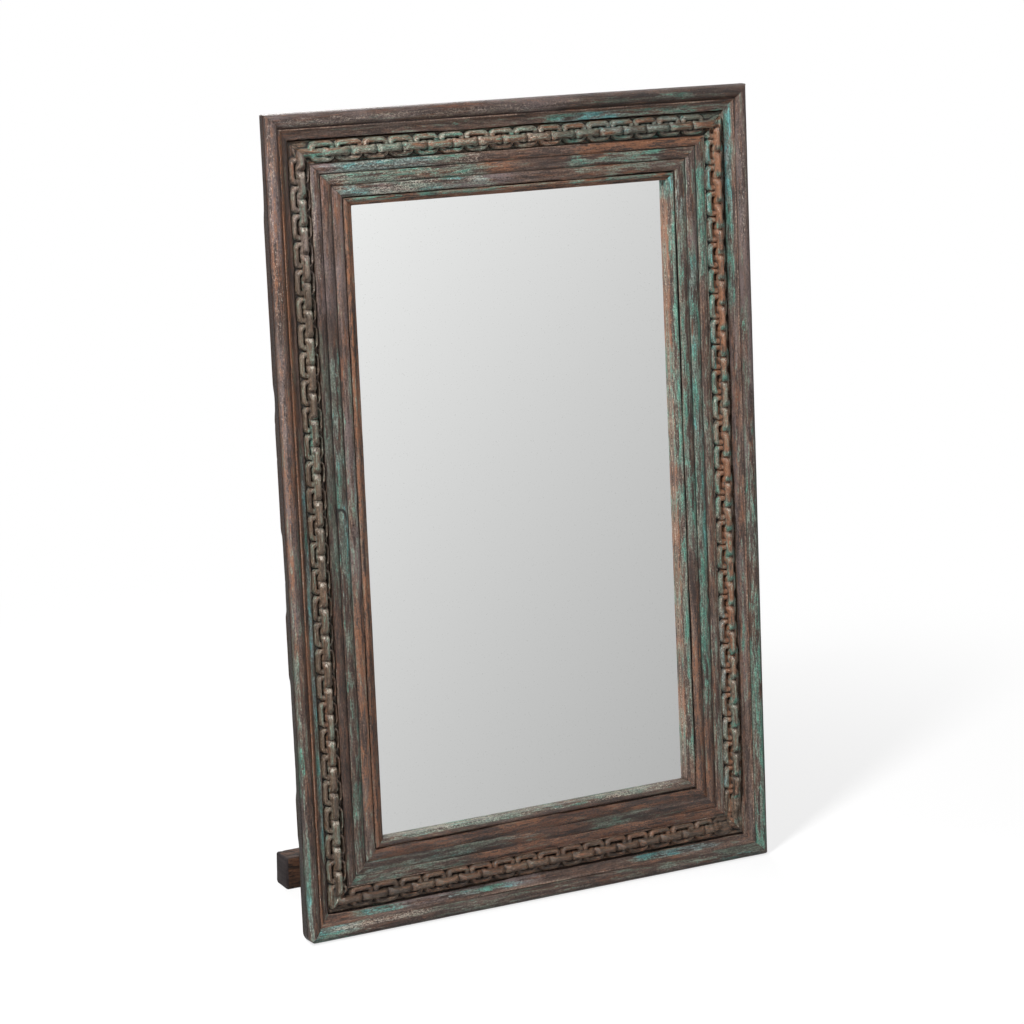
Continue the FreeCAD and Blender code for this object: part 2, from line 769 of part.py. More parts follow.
def main():
    """Build every piece, set the origin under the middle of the whole, and write the files."""
    os.makedirs("parts", exist_ok=True)
    nodes = {name: planed(leaned(shape)) for name, shape in build_frame().items()}
    nodes.update(build_stand())
    bounds = Part.Compound(list(nodes.values())).optimalBoundingBox(False, False)
    move = Vector(-bounds.Center.x, -bounds.Center.y, -floor_level)
    pin = on_floor(pin_y, pin_z)
    print("bounds", bounds.XLength, bounds.YLength, bounds.ZLength)
    print("hinge axis at", [round(v, 4) for v in (0, pin[0] + move.y, pin[1] + move.z)])
    print("foot from", round(foot_front + move.y, 4), "to", round(foot_front + foot_depth + move.y, 4))
    for name, shape in nodes.items():
        placed = shape.copy()
        placed.translate(move)
        placed.exportStep("parts/" + name + ".step")
        print(name, len(placed.Solids), round(placed.Volume), placed.isValid())


main()
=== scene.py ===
import logging
import math
from dataclasses import dataclass, field
from enum import Enum, IntEnum
from functools import partial
from typing import Any, Callable, Iterable, Sequence

import bmesh
import bpy
import numpy as np
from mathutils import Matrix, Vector

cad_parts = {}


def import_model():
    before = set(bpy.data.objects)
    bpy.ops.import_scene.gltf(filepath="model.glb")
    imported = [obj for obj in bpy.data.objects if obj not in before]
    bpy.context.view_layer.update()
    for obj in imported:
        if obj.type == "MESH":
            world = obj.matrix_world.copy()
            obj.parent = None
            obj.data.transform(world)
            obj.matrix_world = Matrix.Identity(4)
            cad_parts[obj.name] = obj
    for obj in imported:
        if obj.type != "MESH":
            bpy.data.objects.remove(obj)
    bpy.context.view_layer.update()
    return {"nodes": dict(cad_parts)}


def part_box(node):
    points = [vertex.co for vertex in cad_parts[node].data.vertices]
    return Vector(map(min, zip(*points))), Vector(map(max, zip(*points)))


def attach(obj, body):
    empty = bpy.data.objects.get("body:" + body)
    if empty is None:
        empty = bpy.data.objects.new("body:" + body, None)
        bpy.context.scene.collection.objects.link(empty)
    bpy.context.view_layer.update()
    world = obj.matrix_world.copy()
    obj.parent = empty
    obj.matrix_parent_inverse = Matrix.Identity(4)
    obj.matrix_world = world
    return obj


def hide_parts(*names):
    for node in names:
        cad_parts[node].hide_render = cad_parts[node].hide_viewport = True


# A floor mirror in a carved frame with many worn coats of paint, leaning on a hinged rear stand.
# Each side of the frame is worked out in its own direction: along the side, back from the front
# crest of the edge bead, and across from the outer edge towards the glass, all in metres. The
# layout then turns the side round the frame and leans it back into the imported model's place.


log = logging.getLogger("mirror")
MM = 0.001
BAKE_MAP = "OFBake"
BOARD_NODES = {"outer": "outer_moulding", "chain": "chain_strip", "inner": "inner_moulding",
               "sight": "sight_bead"}
SAME_PLACE = 1e-6            # places nearer than this are one
NO_LENGTH = 1e-12            # keeps a division off zero
NOISE_REACH = (0.27, 0.73)   # where nearly all values of the shader noise lie
COLOUR_INPUTS, COLOUR_OUTPUT = (0, 6, 7), 2
FILMS = 3                    # number of coats before the films
SRGB_BEND, SRGB_SLOPE, SRGB_SHIFT, SRGB_POWER = 0.04045, 12.92, 0.055, 2.4
LATTICE = 256                # cells of the noise before it repeats
OCTAVE_SHIFT = (17.3, 9.1)   # keeps the finer layers of noise off the coarser ones
Span = tuple[float, float]
Triple = tuple[float, float, float]
Grid = np.ndarray
Grids = dict[str, np.ndarray]
Piece = bpy.types.Object
Mesh = bpy.types.Mesh
Socket = bpy.types.NodeSocket
Outputs = bpy.types.NodeOutputs


class Side(Enum):
    """The four sides of the frame, each with the name that its pieces carry."""

    BOTTOM = "bottom"
    RIGHT = "right"
    TOP = "top"
    LEFT = "left"

    @property
    def upright(self) -> bool:
        """Whether the side stands up."""
        return self in (Side.LEFT, Side.RIGHT)

    @property
    def reversed(self) -> bool:
        """Whether the side's own direction runs down or to the left."""
        return self in (Side.LEFT, Side.TOP)


class Coat(IntEnum):
    """What shows on top in a worn place of the paint."""

    TEAL = 0
    PALE = 1
    BARE = 2
    BLUE = 3
    PLUM = 4
    # grime, together with painted shade where the frame lies in shadow
    GRIME = 5


class GrainWay(Enum):
    """The axis that a timber's grain follows."""

    X = 0
    Y = 1
    Z = 2


class Pattern(Enum):
    """Noise patterns of a board: what its seed is raised by, and the cells along and across."""

    WAVE = 0, (0.17, 0.05)
    MARKS = 1, (0.021, 0.007)
    NICKS = 2, (0.011, 0.006)
    RUBBED = 3, (0.03, 0.01)
    GROUND = 5, (0.006, 0.006)
    ROUGH = 6, (0.0035, 0.003)
    NOTCH = 7, (1.0, 0.05)
    FILLING = 9, (0.11, 0.02)
    SEAM = 11, (0.06, 0.05)
    PATCH = 40, (0.045, 0.011)
    TIP = 60, (1 / 0.71, 0.003)


def by_side(left: object, right: object, top: object, bottom: object) -> Any:
    """Field of a dataclass that holds a value for each side."""
    values = {Side.LEFT: left, Side.RIGHT: right, Side.TOP: top, Side.BOTTOM: bottom}
    return field(default_factory=lambda: dict(values))


def linear(hex_colour: str) -> tuple[float, float, float, float]:
    """Turn a written colour into the shader's linear values.

    Args:
        hex_colour: Six hexadecimal digits.

    Returns:
        Red, green, blue and an alpha of one.
    """
    parts = [int(hex_colour[i:i + 2], 16) / 255 for i in (0, 2, 4)]
    return tuple(p / SRGB_SLOPE if p <= SRGB_BEND else ((p + SRGB_SHIFT) / (1 + SRGB_SHIFT)) ** SRGB_POWER
                 for p in parts) + (1.0,)


def ease(values: Grid, low: float, high: float) -> Grid:
    """Smooth step from zero at low to one at high."""
    t = np.clip((values - low) / (high - low), 0.0, 1.0)
    return t * t * (3 - 2 * t)


def within(values: Grid, rise: Span, fall: Span) -> Grid:
    """One between a rise and a fall, each of them a smooth step."""
    return ease(values, *rise) * (1 - ease(values, *fall))


def around(place: float, fade: float) -> Span:
    """Stretch on both sides of a place."""
    return place - fade, place + fade


def field_noise(a: Grid, b: Grid, seed: int, octaves: int = 2) -> Grid:
    """Smooth noise over two coordinates, counted in cells.

    Args:
        a: First coordinate.
        b: Second coordinate, of the same shape.
        seed: Number that picks the pattern.
        octaves: How many finer layers are added.

    Returns:
        Values from about minus one to one.
    """
    lattice = np.random.default_rng(seed).uniform(-1.0, 1.0, (LATTICE, LATTICE))
    total, weight, whole = np.zeros(np.broadcast(a, b).shape), 1.0, 0.0
    for octave in range(octaves):
        x, y = (c * 2 ** octave + shift * octave for c, shift in zip((a, b), OCTAVE_SHIFT))
        i, j = np.floor(x).astype(int), np.floor(y).astype(int)
        u, v = ease(x - i, 0.0, 1.0), ease(y - j, 0.0, 1.0)
        i0, i1, j0, j1 = i % LATTICE, (i + 1) % LATTICE, j % LATTICE, (j + 1) % LATTICE
        low = lattice[i0, j0] * (1 - u) + lattice[i1, j0] * u
        high = lattice[i0, j1] * (1 - u) + lattice[i1, j1] * u
        total = total + weight * (low * (1 - v) + high * v)
        whole += weight
        weight /= 2
    return total / whole


def blurred(values: Grid, reach: int, axis: int, closed: bool, passes: int = 2) -> Grid:
    """Mean over neighbours along one axis of a grid.

    Args:
        values: Grid of values or points.
        reach: Neighbours taken in each direction.
        axis: Axis of the grid that is averaged.
        closed: Whether the grid meets itself along that axis.
        passes: How many times the mean is taken.

    Returns:
        A grid of the same shape.
    """
    pads = [(0, 0)] * values.ndim
    pads[axis] = (reach, reach)
    for _ in range(passes if reach else 0):
        padded = np.pad(values, pads, mode="wrap" if closed else "edge")
        count = values.shape[axis]
        values = sum(np.take(padded, range(k, k + count), axis) for k in range(2 * reach + 1))
        values = values / (2 * reach + 1)
    return values


@dataclass(frozen=True)
class FrameLayout:
    """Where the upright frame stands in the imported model, and how far it is out of true.

    A belt holds the stretches over which a movement rises and falls away again, from the left
    outer edge or from the foot.
    """

    width: float = 0.940
    height: float = 1.420
    lean: float = math.radians(5.0)
    board_depth: float = 0.028
    planed: float = 0.001
    bead_radius: float = 0.013
    corner_rounds: tuple[float, ...] = (0.020, 0.013, 0.004, 0.005)
    left_shift: float = 4.0 * MM
    left_belt: tuple[Span, Span] = ((0.030, 0.060), (0.146, 0.162))
    right_spread: float = 5.5 * MM
    right_belt: tuple[Span, Span] = ((0.766, 0.780), (0.784, 0.850))
    right_spread_height: float = 1.15
    bottom_drop: float = 3.0 * MM
    bottom_belt: tuple[Span, Span] = ((0.110, 0.155), (0.180, 0.260))
    bottom_drop_start: float = 0.74
    bottom_drop_run: float = 0.54

    def length(self, side: Side) -> float:
        """Outer length of a side."""
        return self.height if side.upright else self.width

    def turned(self, side: Side, points: Grid) -> Grid:
        """Turn points from a side's own direction into the upright frame.

        Args:
            side: The side that the points belong to.
            points: Points as along, depth and across.

        Returns:
            The points as x, depth and height.
        """
        along, depth, across = points[..., 0], points[..., 1], points[..., 2]
        placed = {
            Side.BOTTOM: (along, across),
            Side.RIGHT: (self.width - across, along),
            Side.TOP: (self.width - along, self.height - across),
            Side.LEFT: (across, self.height - along),
        }[side]
        return np.stack([placed[0], depth, placed[1]], axis=-1)

    def leaned(self, points: Grid) -> Grid:
        """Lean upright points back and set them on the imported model's floor.

        Args:
            points: Points of the upright frame, as x, depth and height.

        Returns:
            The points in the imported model's frame.
        """
        cos, sin = math.cos(self.lean), math.sin(self.lean)
        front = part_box("outer_moulding_bottom")[0].y - self.bead_radius * (cos + sin - 1)
        x, depth, height = points[..., 0], points[..., 1], points[..., 2]
        back = depth * cos + height * sin + front
        up = height * cos - depth * sin + self.board_depth * sin - self.planed
        return np.stack([x - self.width / 2, back, np.maximum(up, 0.0)], axis=-1)

    def out_of_true(self, points: Grid) -> Grid:
        """Move parts of the frame off the true lines, as they were cut and fitted.

        The left side's grooves and chain lie further out, the opening widens to the right
        towards its foot, and its lower edge drops to the left.

        Args:
            points: Points of the upright frame.

        Returns:
            The moved points.
        """
        made = points.copy()
        x, z = points[..., 0], points[..., 2]
        made[..., 0] -= self.left_shift * within(x, *self.left_belt)
        widening = np.clip(1 - z / self.right_spread_height, 0.0, 1.0) * within(x, *self.right_belt)
        made[..., 0] += self.right_spread * widening
        drop = np.clip((self.bottom_drop_start - x) / self.bottom_drop_run, 0.0, 1.0)
        made[..., 2] -= self.bottom_drop * drop * within(z, *self.bottom_belt)
        return made

    def rounded(self, points: Grid) -> Grid:
        """Draw points that lie outside the worn outer corners in to them.

        Args:
            points: Points of the upright frame.

        Returns:
            The moved points.
        """
        made = points.copy()
        corners = [(0, 0, 1, 1), (self.width, 0, -1, 1), (self.width, self.height, -1, -1),
                   (0, self.height, 1, -1)]
        for (x, z, way_x, way_z), radius in zip(corners, self.corner_rounds):
            dx = radius - (made[..., 0] - x) * way_x
            dz = radius - (made[..., 2] - z) * way_z
            reach = np.hypot(dx, dz)
            outside = (dx > 0) & (dz > 0) & (reach > radius)
            share = np.where(outside, radius / np.maximum(reach, MM), 1.0)
            made[..., 0] = np.where(outside, x + way_x * (radius - dx * share), made[..., 0])
            made[..., 2] = np.where(outside, z + way_z * (radius - dz * share), made[..., 2])
        return made


@dataclass(frozen=True)
class Patch:
    """A place on one side where another coat of paint shows.

    The stretch is in shares of the side's length, from the bottom up or from left to right, and
    the belt is in metres from the outer edge.
    """

    side: Side
    coat: Coat
    stretch: Span
    belt: Span
    strength: float


EDGE, BEAD, BEAD_CROWN, BEAD_OUTER = (0.0, 0.009), (0.0, 0.026), (0.009, 0.024), (0.006, 0.018)
BEAD_TOP, BEAD_INNER, RIDGE = (0.008, 0.021), (0.018, 0.026), (0.0255, 0.0325)
COVE, COVE_LINE, COVE_START = (0.0325, 0.048), (0.036, 0.045), (0.0325, 0.038)
COVE_OUTER, CHAIN, CHAIN_OUTER = (0.032, 0.043), (0.048, 0.087), (0.048, 0.055)
COLUMN, CHAIN_INNER, BAND_1 = (0.055, 0.071), (0.071, 0.087), (0.087, 0.106)
BAND_2, BAND_3, BAND_3_EDGE = (0.106, 0.127), (0.127, 0.148), (0.139, 0.149)
SIGHT, SIGHT_CREST = (0.148, 0.176), (0.148, 0.1555)
GLASS_FACE, GLASS_SIDE = (0.1555, 0.176), (0.160, 0.176)


# Where each coat shows most, by side, belt and coat. A stretch holds its start, its end and its
# strength in hundredths, and a strength alone goes for the whole length. The grime coat is grime
# and painted shade together, as in the shaded left and top coves and on the outer edges.
TEAL, PALE, BARE, BLUE, PLUM, GRIME = Coat
WORN: dict[Side, dict[Span, dict[Coat, int | list[tuple[int, int, int]]]]] = {
    Side.LEFT: {
        EDGE: {TEAL: [(0, 30, 70), (30, 46, 45)], BLUE: [(0, 14, 40), (36, 62, 20)],
               BARE: [(36, 50, 60)]},
        BEAD: {PLUM: [(38, 80, 35), (80, 100, 50)], PALE: [(62, 100, 25)], BARE: [(48, 100, 32)]},
        BEAD_CROWN: {TEAL: [(0, 30, 25), (36, 52, 45)], GRIME: 45},
        RIDGE: {BARE: 85},
        COVE: {GRIME: [(0, 45, 50), (45, 100, 95)]},
        COVE_LINE: {TEAL: [(0, 62, 70)], BLUE: [(12, 60, 60)]},
        CHAIN: {TEAL: [(0, 100, 30), (50, 66, 45), (85, 100, 40)], PLUM: [(80, 100, 40)], GRIME: 25},
        BAND_1: {TEAL: [(0, 12, 30), (40, 74, 50)], BLUE: [(40, 74, 35), (78, 100, 35)],
                 PLUM: [(74, 100, 60)], PALE: [(80, 100, 35)],
                 GRIME: [(0, 38, 70), (38, 76, 80), (76, 100, 45)]},
        BAND_2: {TEAL: [(4, 30, 60), (30, 72, 65)], BLUE: [(36, 74, 35)], PLUM: [(74, 100, 45)],
                 GRIME: [(0, 30, 35), (30, 100, 40), (70, 82, 60)]},
        BAND_3: {TEAL: [(0, 14, 60), (45, 70, 35)], PLUM: [(42, 100, 40)], BARE: [(14, 42, 50)]},
        BAND_3_EDGE: {BLUE: [(40, 72, 45)]},
        SIGHT: {BARE: 55, GRIME: [(0, 35, 50)]},
    },
    Side.TOP: {
        BEAD: {PLUM: [(0, 62, 45)], GRIME: [(0, 62, 60), (62, 100, 75)]},
        BEAD_CROWN: {BLUE: [(4, 13, 70), (13, 36, 30), (36, 60, 65)], PALE: [(2, 60, 50)]},
        BEAD_TOP: {TEAL: [(62, 95, 60)]},
        COVE: {TEAL: [(18, 55, 35), (57, 80, 95), (80, 100, 60)], BLUE: [(57, 74, 50)],
               GRIME: [(0, 20, 50), (20, 100, 30)]},
        CHAIN: {TEAL: [(8, 56, 60), (56, 100, 55)], BLUE: [(60, 100, 40)], PALE: [(10, 60, 35)],
                BARE: [(8, 95, 75)], GRIME: [(56, 100, 35)]},
        BAND_1: {TEAL: [(14, 40, 85)], BLUE: [(5, 34, 45)], PLUM: [(0, 16, 70)], PALE: [(12, 44, 45)],
                 BARE: [(62, 100, 70)]},
        BAND_2: {TEAL: [(10, 44, 60), (61, 82, 90), (82, 100, 30)], PALE: [(12, 44, 40)],
                 BARE: [(12, 50, 50), (82, 100, 30)], GRIME: [(50, 62, 40)]},
        BAND_3: {TEAL: [(14, 46, 60), (62, 85, 40)], BLUE: [(10, 46, 40)], PLUM: [(10, 50, 50)],
                 PALE: [(10, 46, 60)], BARE: [(85, 100, 40)]},
        SIGHT: {BARE: 70},
        SIGHT_CREST: {TEAL: 70},
        GLASS_FACE: {GRIME: [(30, 100, 40)]},
    },
    Side.RIGHT: {
        EDGE: {GRIME: 50},
        BEAD: {TEAL: [(0, 30, 60), (30, 72, 50)], PLUM: [(50, 100, 45)], GRIME: [(50, 100, 40)]},
        BEAD_CROWN: {PALE: [(80, 100, 30)]},
        BEAD_OUTER: {TEAL: [(0, 34, 75)]},
        COVE: {TEAL: [(0, 20, 20), (72, 98, 95)], BLUE: [(76, 98, 50)], PLUM: [(20, 72, 35)],
               BARE: [(22, 66, 25)]},
        COVE_START: {TEAL: [(20, 66, 50)]},
        CHAIN_OUTER: {TEAL: [(8, 100, 40)]},
        COLUMN: {TEAL: [(10, 66, 35)], BARE: [(22, 60, 70), (60, 97, 80)]},
        CHAIN_INNER: {TEAL: [(8, 30, 50), (30, 100, 75)], BLUE: [(8, 35, 50), (60, 100, 35)],
                      PALE: [(10, 100, 20)], BARE: [(16, 76, 50)]},
        BAND_1: {TEAL: [(9, 25, 50), (25, 74, 35), (76, 100, 80)]},
        BAND_2: {TEAL: [(20, 80, 80), (80, 100, 30)], BLUE: [(40, 80, 35)], PLUM: [(78, 100, 50)],
                 PALE: [(84, 100, 30)], BARE: [(0, 18, 40)], GRIME: [(0, 18, 30)]},
        BAND_3: {TEAL: [(36, 82, 65), (82, 100, 50)], BLUE: [(82, 100, 40)], BARE: [(0, 36, 45)],
                 GRIME: [(0, 20, 30)]},
        SIGHT: {TEAL: [(15, 86, 60), (86, 97, 90)], BLUE: [(86, 97, 50)], PALE: [(8, 100, 32)]},
        SIGHT_CREST: {TEAL: [(15, 86, 95)]},
        GLASS_SIDE: {BARE: [(15, 97, 85)]},
    },
    Side.BOTTOM: {
        EDGE: {GRIME: 90},
        BEAD: {TEAL: [(0, 12, 75), (12, 86, 30), (86, 100, 60)],
               BLUE: [(0, 12, 40), (12, 60, 20), (86, 100, 30)], GRIME: [(12, 100, 55)]},
        BEAD_INNER: {PALE: [(5, 28, 60)]},
        COVE_OUTER: {TEAL: [(12, 20, 90), (30, 44, 100), (70, 80, 100), (80, 86, 60)],
                     BLUE: [(10, 50, 55), (68, 90, 55)]},
        COVE: {PLUM: [(14, 50, 50)], GRIME: [(50, 100, 35)]},
        CHAIN: {BARE: [(20, 90, 30)], GRIME: 45},
        BAND_1: {TEAL: [(8, 34, 55)], BARE: [(34, 100, 45)], GRIME: 50},
        BAND_2: {TEAL: [(12, 42, 50), (60, 82, 60)], BLUE: [(12, 50, 35), (62, 75, 20)],
                 BARE: [(42, 60, 50), (75, 100, 40)], GRIME: 70},
        BAND_3: {BARE: [(10, 100, 50)], GRIME: 75},
        SIGHT_CREST: {GRIME: 90},
        GLASS_FACE: {TEAL: [(12, 50, 75), (50, 90, 60)], BLUE: [(12, 62, 35)], PALE: [(12, 82, 55)]},
    },
}


def worn_places() -> list[Patch]:
    """Every place where one of the coats shows most.

    Returns:
        The patches of all four sides.
    """
    return [Patch(side, coat, (start / 100, end / 100), belt, strength / 100)
            for side, belts in WORN.items() for belt, coats in belts.items()
            for coat, shown in coats.items()
            for start, end, strength in ([(0, 100, shown)] if isinstance(shown, int) else shown)]


@dataclass
class Sheet:
    """Closed skin of a board: a grid of points, stations along it by points round its section.

    The points hold along, depth and across in the side's own direction.
    """

    points: Grid
    front: Grid

    def spacing(self, axis: int) -> float:
        """Measure the usual distance between neighbours on the front.

        Args:
            axis: Axis of the grid that the neighbours lie along.

        Returns:
            The distance.
        """
        steps = np.linalg.norm(np.diff(self.points, axis=axis), axis=-1)
        steps = steps[:, self.front[1:] > 0.5] if axis else steps[:, self.front > 0.5]
        return float(np.median(steps))

    def normals(self) -> Grid:
        """Find the directions out of the skin.

        Returns:
            A direction for each point.
        """
        lengthwise = np.gradient(self.points, axis=0)
        wrapped = np.concatenate([self.points[:, -1:], self.points, self.points[:, :1]], axis=1)
        crosswise = wrapped[:, 2:] - wrapped[:, :-2]
        made = np.cross(lengthwise, crosswise)
        made = made / np.maximum(np.linalg.norm(made, axis=-1, keepdims=True), NO_LENGTH)
        facing = np.average(made[..., 1], weights=np.broadcast_to(self.front, made.shape[:2]))
        return made if facing < 0 else -made

    def standing_out(self, reach: float) -> Grid:
        """How far each point stands out of its smoothed surroundings, in metres.

        Args:
            reach: Distance over which the surroundings are smoothed.

        Returns:
            Positive values on crests and edges, negative ones in hollows.
        """
        rows = max(1, round(reach / self.spacing(0) / 2))
        columns = max(1, round(reach / self.spacing(1) / 2))
        smooth = blurred(self.points, rows, 0, False)
        smooth[:rows * 2], smooth[-rows * 2:] = self.points[:rows * 2], self.points[-rows * 2:]
        smooth = blurred(smooth, columns, 1, True)
        return ((self.points - smooth) * self.normals()).sum(-1)


@dataclass(frozen=True)
class SkinMesh:
    """Turns a closed grid of placed points into a mesh object with its painting values.

    The shares are of the flat map that the mesh is laid out on for baking.
    """

    name: str
    sharp: float = math.radians(52)
    skin_share: float = 0.96
    cap_share: float = 0.03
    cap_fill: float = 0.9

    def build(self, placed: Grid, values: Grids) -> Piece:
        """Make the object.

        Args:
            placed: Grid of points in the model's frame.
            values: Grids of three values a point, by attribute name.

        Returns:
            The new object.
        """
        rows, columns = placed.shape[:2]
        index = np.arange(rows * columns).reshape(rows, columns)
        following = np.roll(index, -1, axis=1)
        quads = np.stack([index[:-1], following[:-1], following[1:], index[1:]], axis=-1).reshape(-1, 4)
        caps = [index[0, ::-1].tolist(), index[-1].tolist()]
        mesh = bpy.data.meshes.new(self.name)
        mesh.from_pydata(placed.reshape(-1, 3).tolist(), [], quads.tolist() + caps)
        for key, grid in values.items():
            stored = mesh.attributes.new(key, "FLOAT_VECTOR", "POINT")
            stored.data.foreach_set("vector", grid.reshape(-1, 3).astype(np.float32).ravel())
        self.unwrap(mesh, rows, columns)
        work = bmesh.new()
        work.from_mesh(mesh)
        bmesh.ops.recalc_face_normals(work, faces=work.faces)
        work.to_mesh(mesh)
        work.free()
        mesh.polygons.foreach_set("use_smooth", [True] * len(mesh.polygons))
        mesh.set_sharp_from_angle(angle=self.sharp)
        return linked(bpy.data.objects.new(self.name, mesh))

    def unwrap(self, mesh: Mesh, rows: int, columns: int) -> None:
        """Lay the skin out flat for baking, with the two end caps beside it.

        Args:
            mesh: The mesh.
            rows: Number of stations along the skin.
            columns: Number of points round it.
        """
        row, column = np.meshgrid(np.arange(rows - 1), np.arange(columns), indexing="ij")
        u = np.stack([row, row, row + 1, row + 1], axis=-1) / (rows - 1)
        v = np.stack([column, column + 1, column + 1, column], axis=-1) / columns * self.skin_share
        turn = np.arange(columns) / columns * 2 * math.pi
        disc = np.stack([np.cos(turn), np.sin(turn)], axis=-1) * self.cap_share / 2
        up = 1 - self.cap_share / 2
        middles = [(self.cap_share, up), (self.cap_share * 3, up)]
        places = np.concatenate([np.stack([u, v], axis=-1).reshape(-1, 2),
                                 *(disc * self.cap_fill + middle for middle in middles)])
        layer = mesh.uv_layers.new(name=BAKE_MAP)
        layer.uv.foreach_set("vector", places.astype(np.float32).ravel())


class Outline:
    """Section of a moulding, drawn point by point as across and depth, its carved front first."""

    def __init__(self, start: Span, step: float) -> None:
        """Start the outline.

        Args:
            start: Its first point.
            step: Usual distance between its points.
        """
        self.points: list[Span] = [start]
        self.front: list[float] = [1.0]
        self.step = step

    def line(self, end: Span, front: float = 1.0, step: float | None = None) -> "Outline":
        """Go straight to a point.

        Args:
            end: Where the line ends.
            front: One on the carved front, zero on the plain sides and back.
            step: Distance between points, where it isn't the usual one.

        Returns:
            The outline.
        """
        start = self.points[-1]
        count = max(1, round(math.dist(start, end) / (step or self.step)))
        for k in range(1, count + 1):
            share = k / count
            self.points.append(tuple(a + (b - a) * share for a, b in zip(start, end)))
            self.front.append(front)
        return self

    def arc(self, middle: Span, end: Span) -> "Outline":
        """Go round the circle through a middle point to an end point.

        Args:
            middle: A point half-way.
            end: Where the arc ends.

        Returns:
            The outline.
        """
        a, b, c = (complex(*p) for p in (self.points[-1], middle, end))
        w = (c - a) / (b - a)
        centre = (b - a) * (w - abs(w) ** 2) / (2j * w.imag) + a
        radius = abs(a - centre)
        turn_b, turn_c = (b - centre) / (a - centre), (c - centre) / (a - centre)
        angle = math.atan2(turn_c.imag, turn_c.real)
        way = math.copysign(1.0, math.atan2(turn_b.imag, turn_b.real))
        if angle * way < 0:
            angle += 2 * math.pi * way
        count = max(2, round(abs(angle) * radius / self.step))
        for k in range(1, count + 1):
            share = angle * k / count
            point = centre + (a - centre) * complex(math.cos(share), math.sin(share))
            self.points.append((point.real, point.imag))
            self.front.append(1.0)
        return self

    def closed(self) -> tuple[Grid, Grid]:
        """Points and front values of the closed outline, its last point dropped onto the first."""
        return np.array(self.points[:-1]), np.array(self.front[:-1])


def linked(made: Piece) -> Piece:
    """Link an object into the scene and hand it back."""
    bpy.context.scene.collection.objects.link(made)
    return made


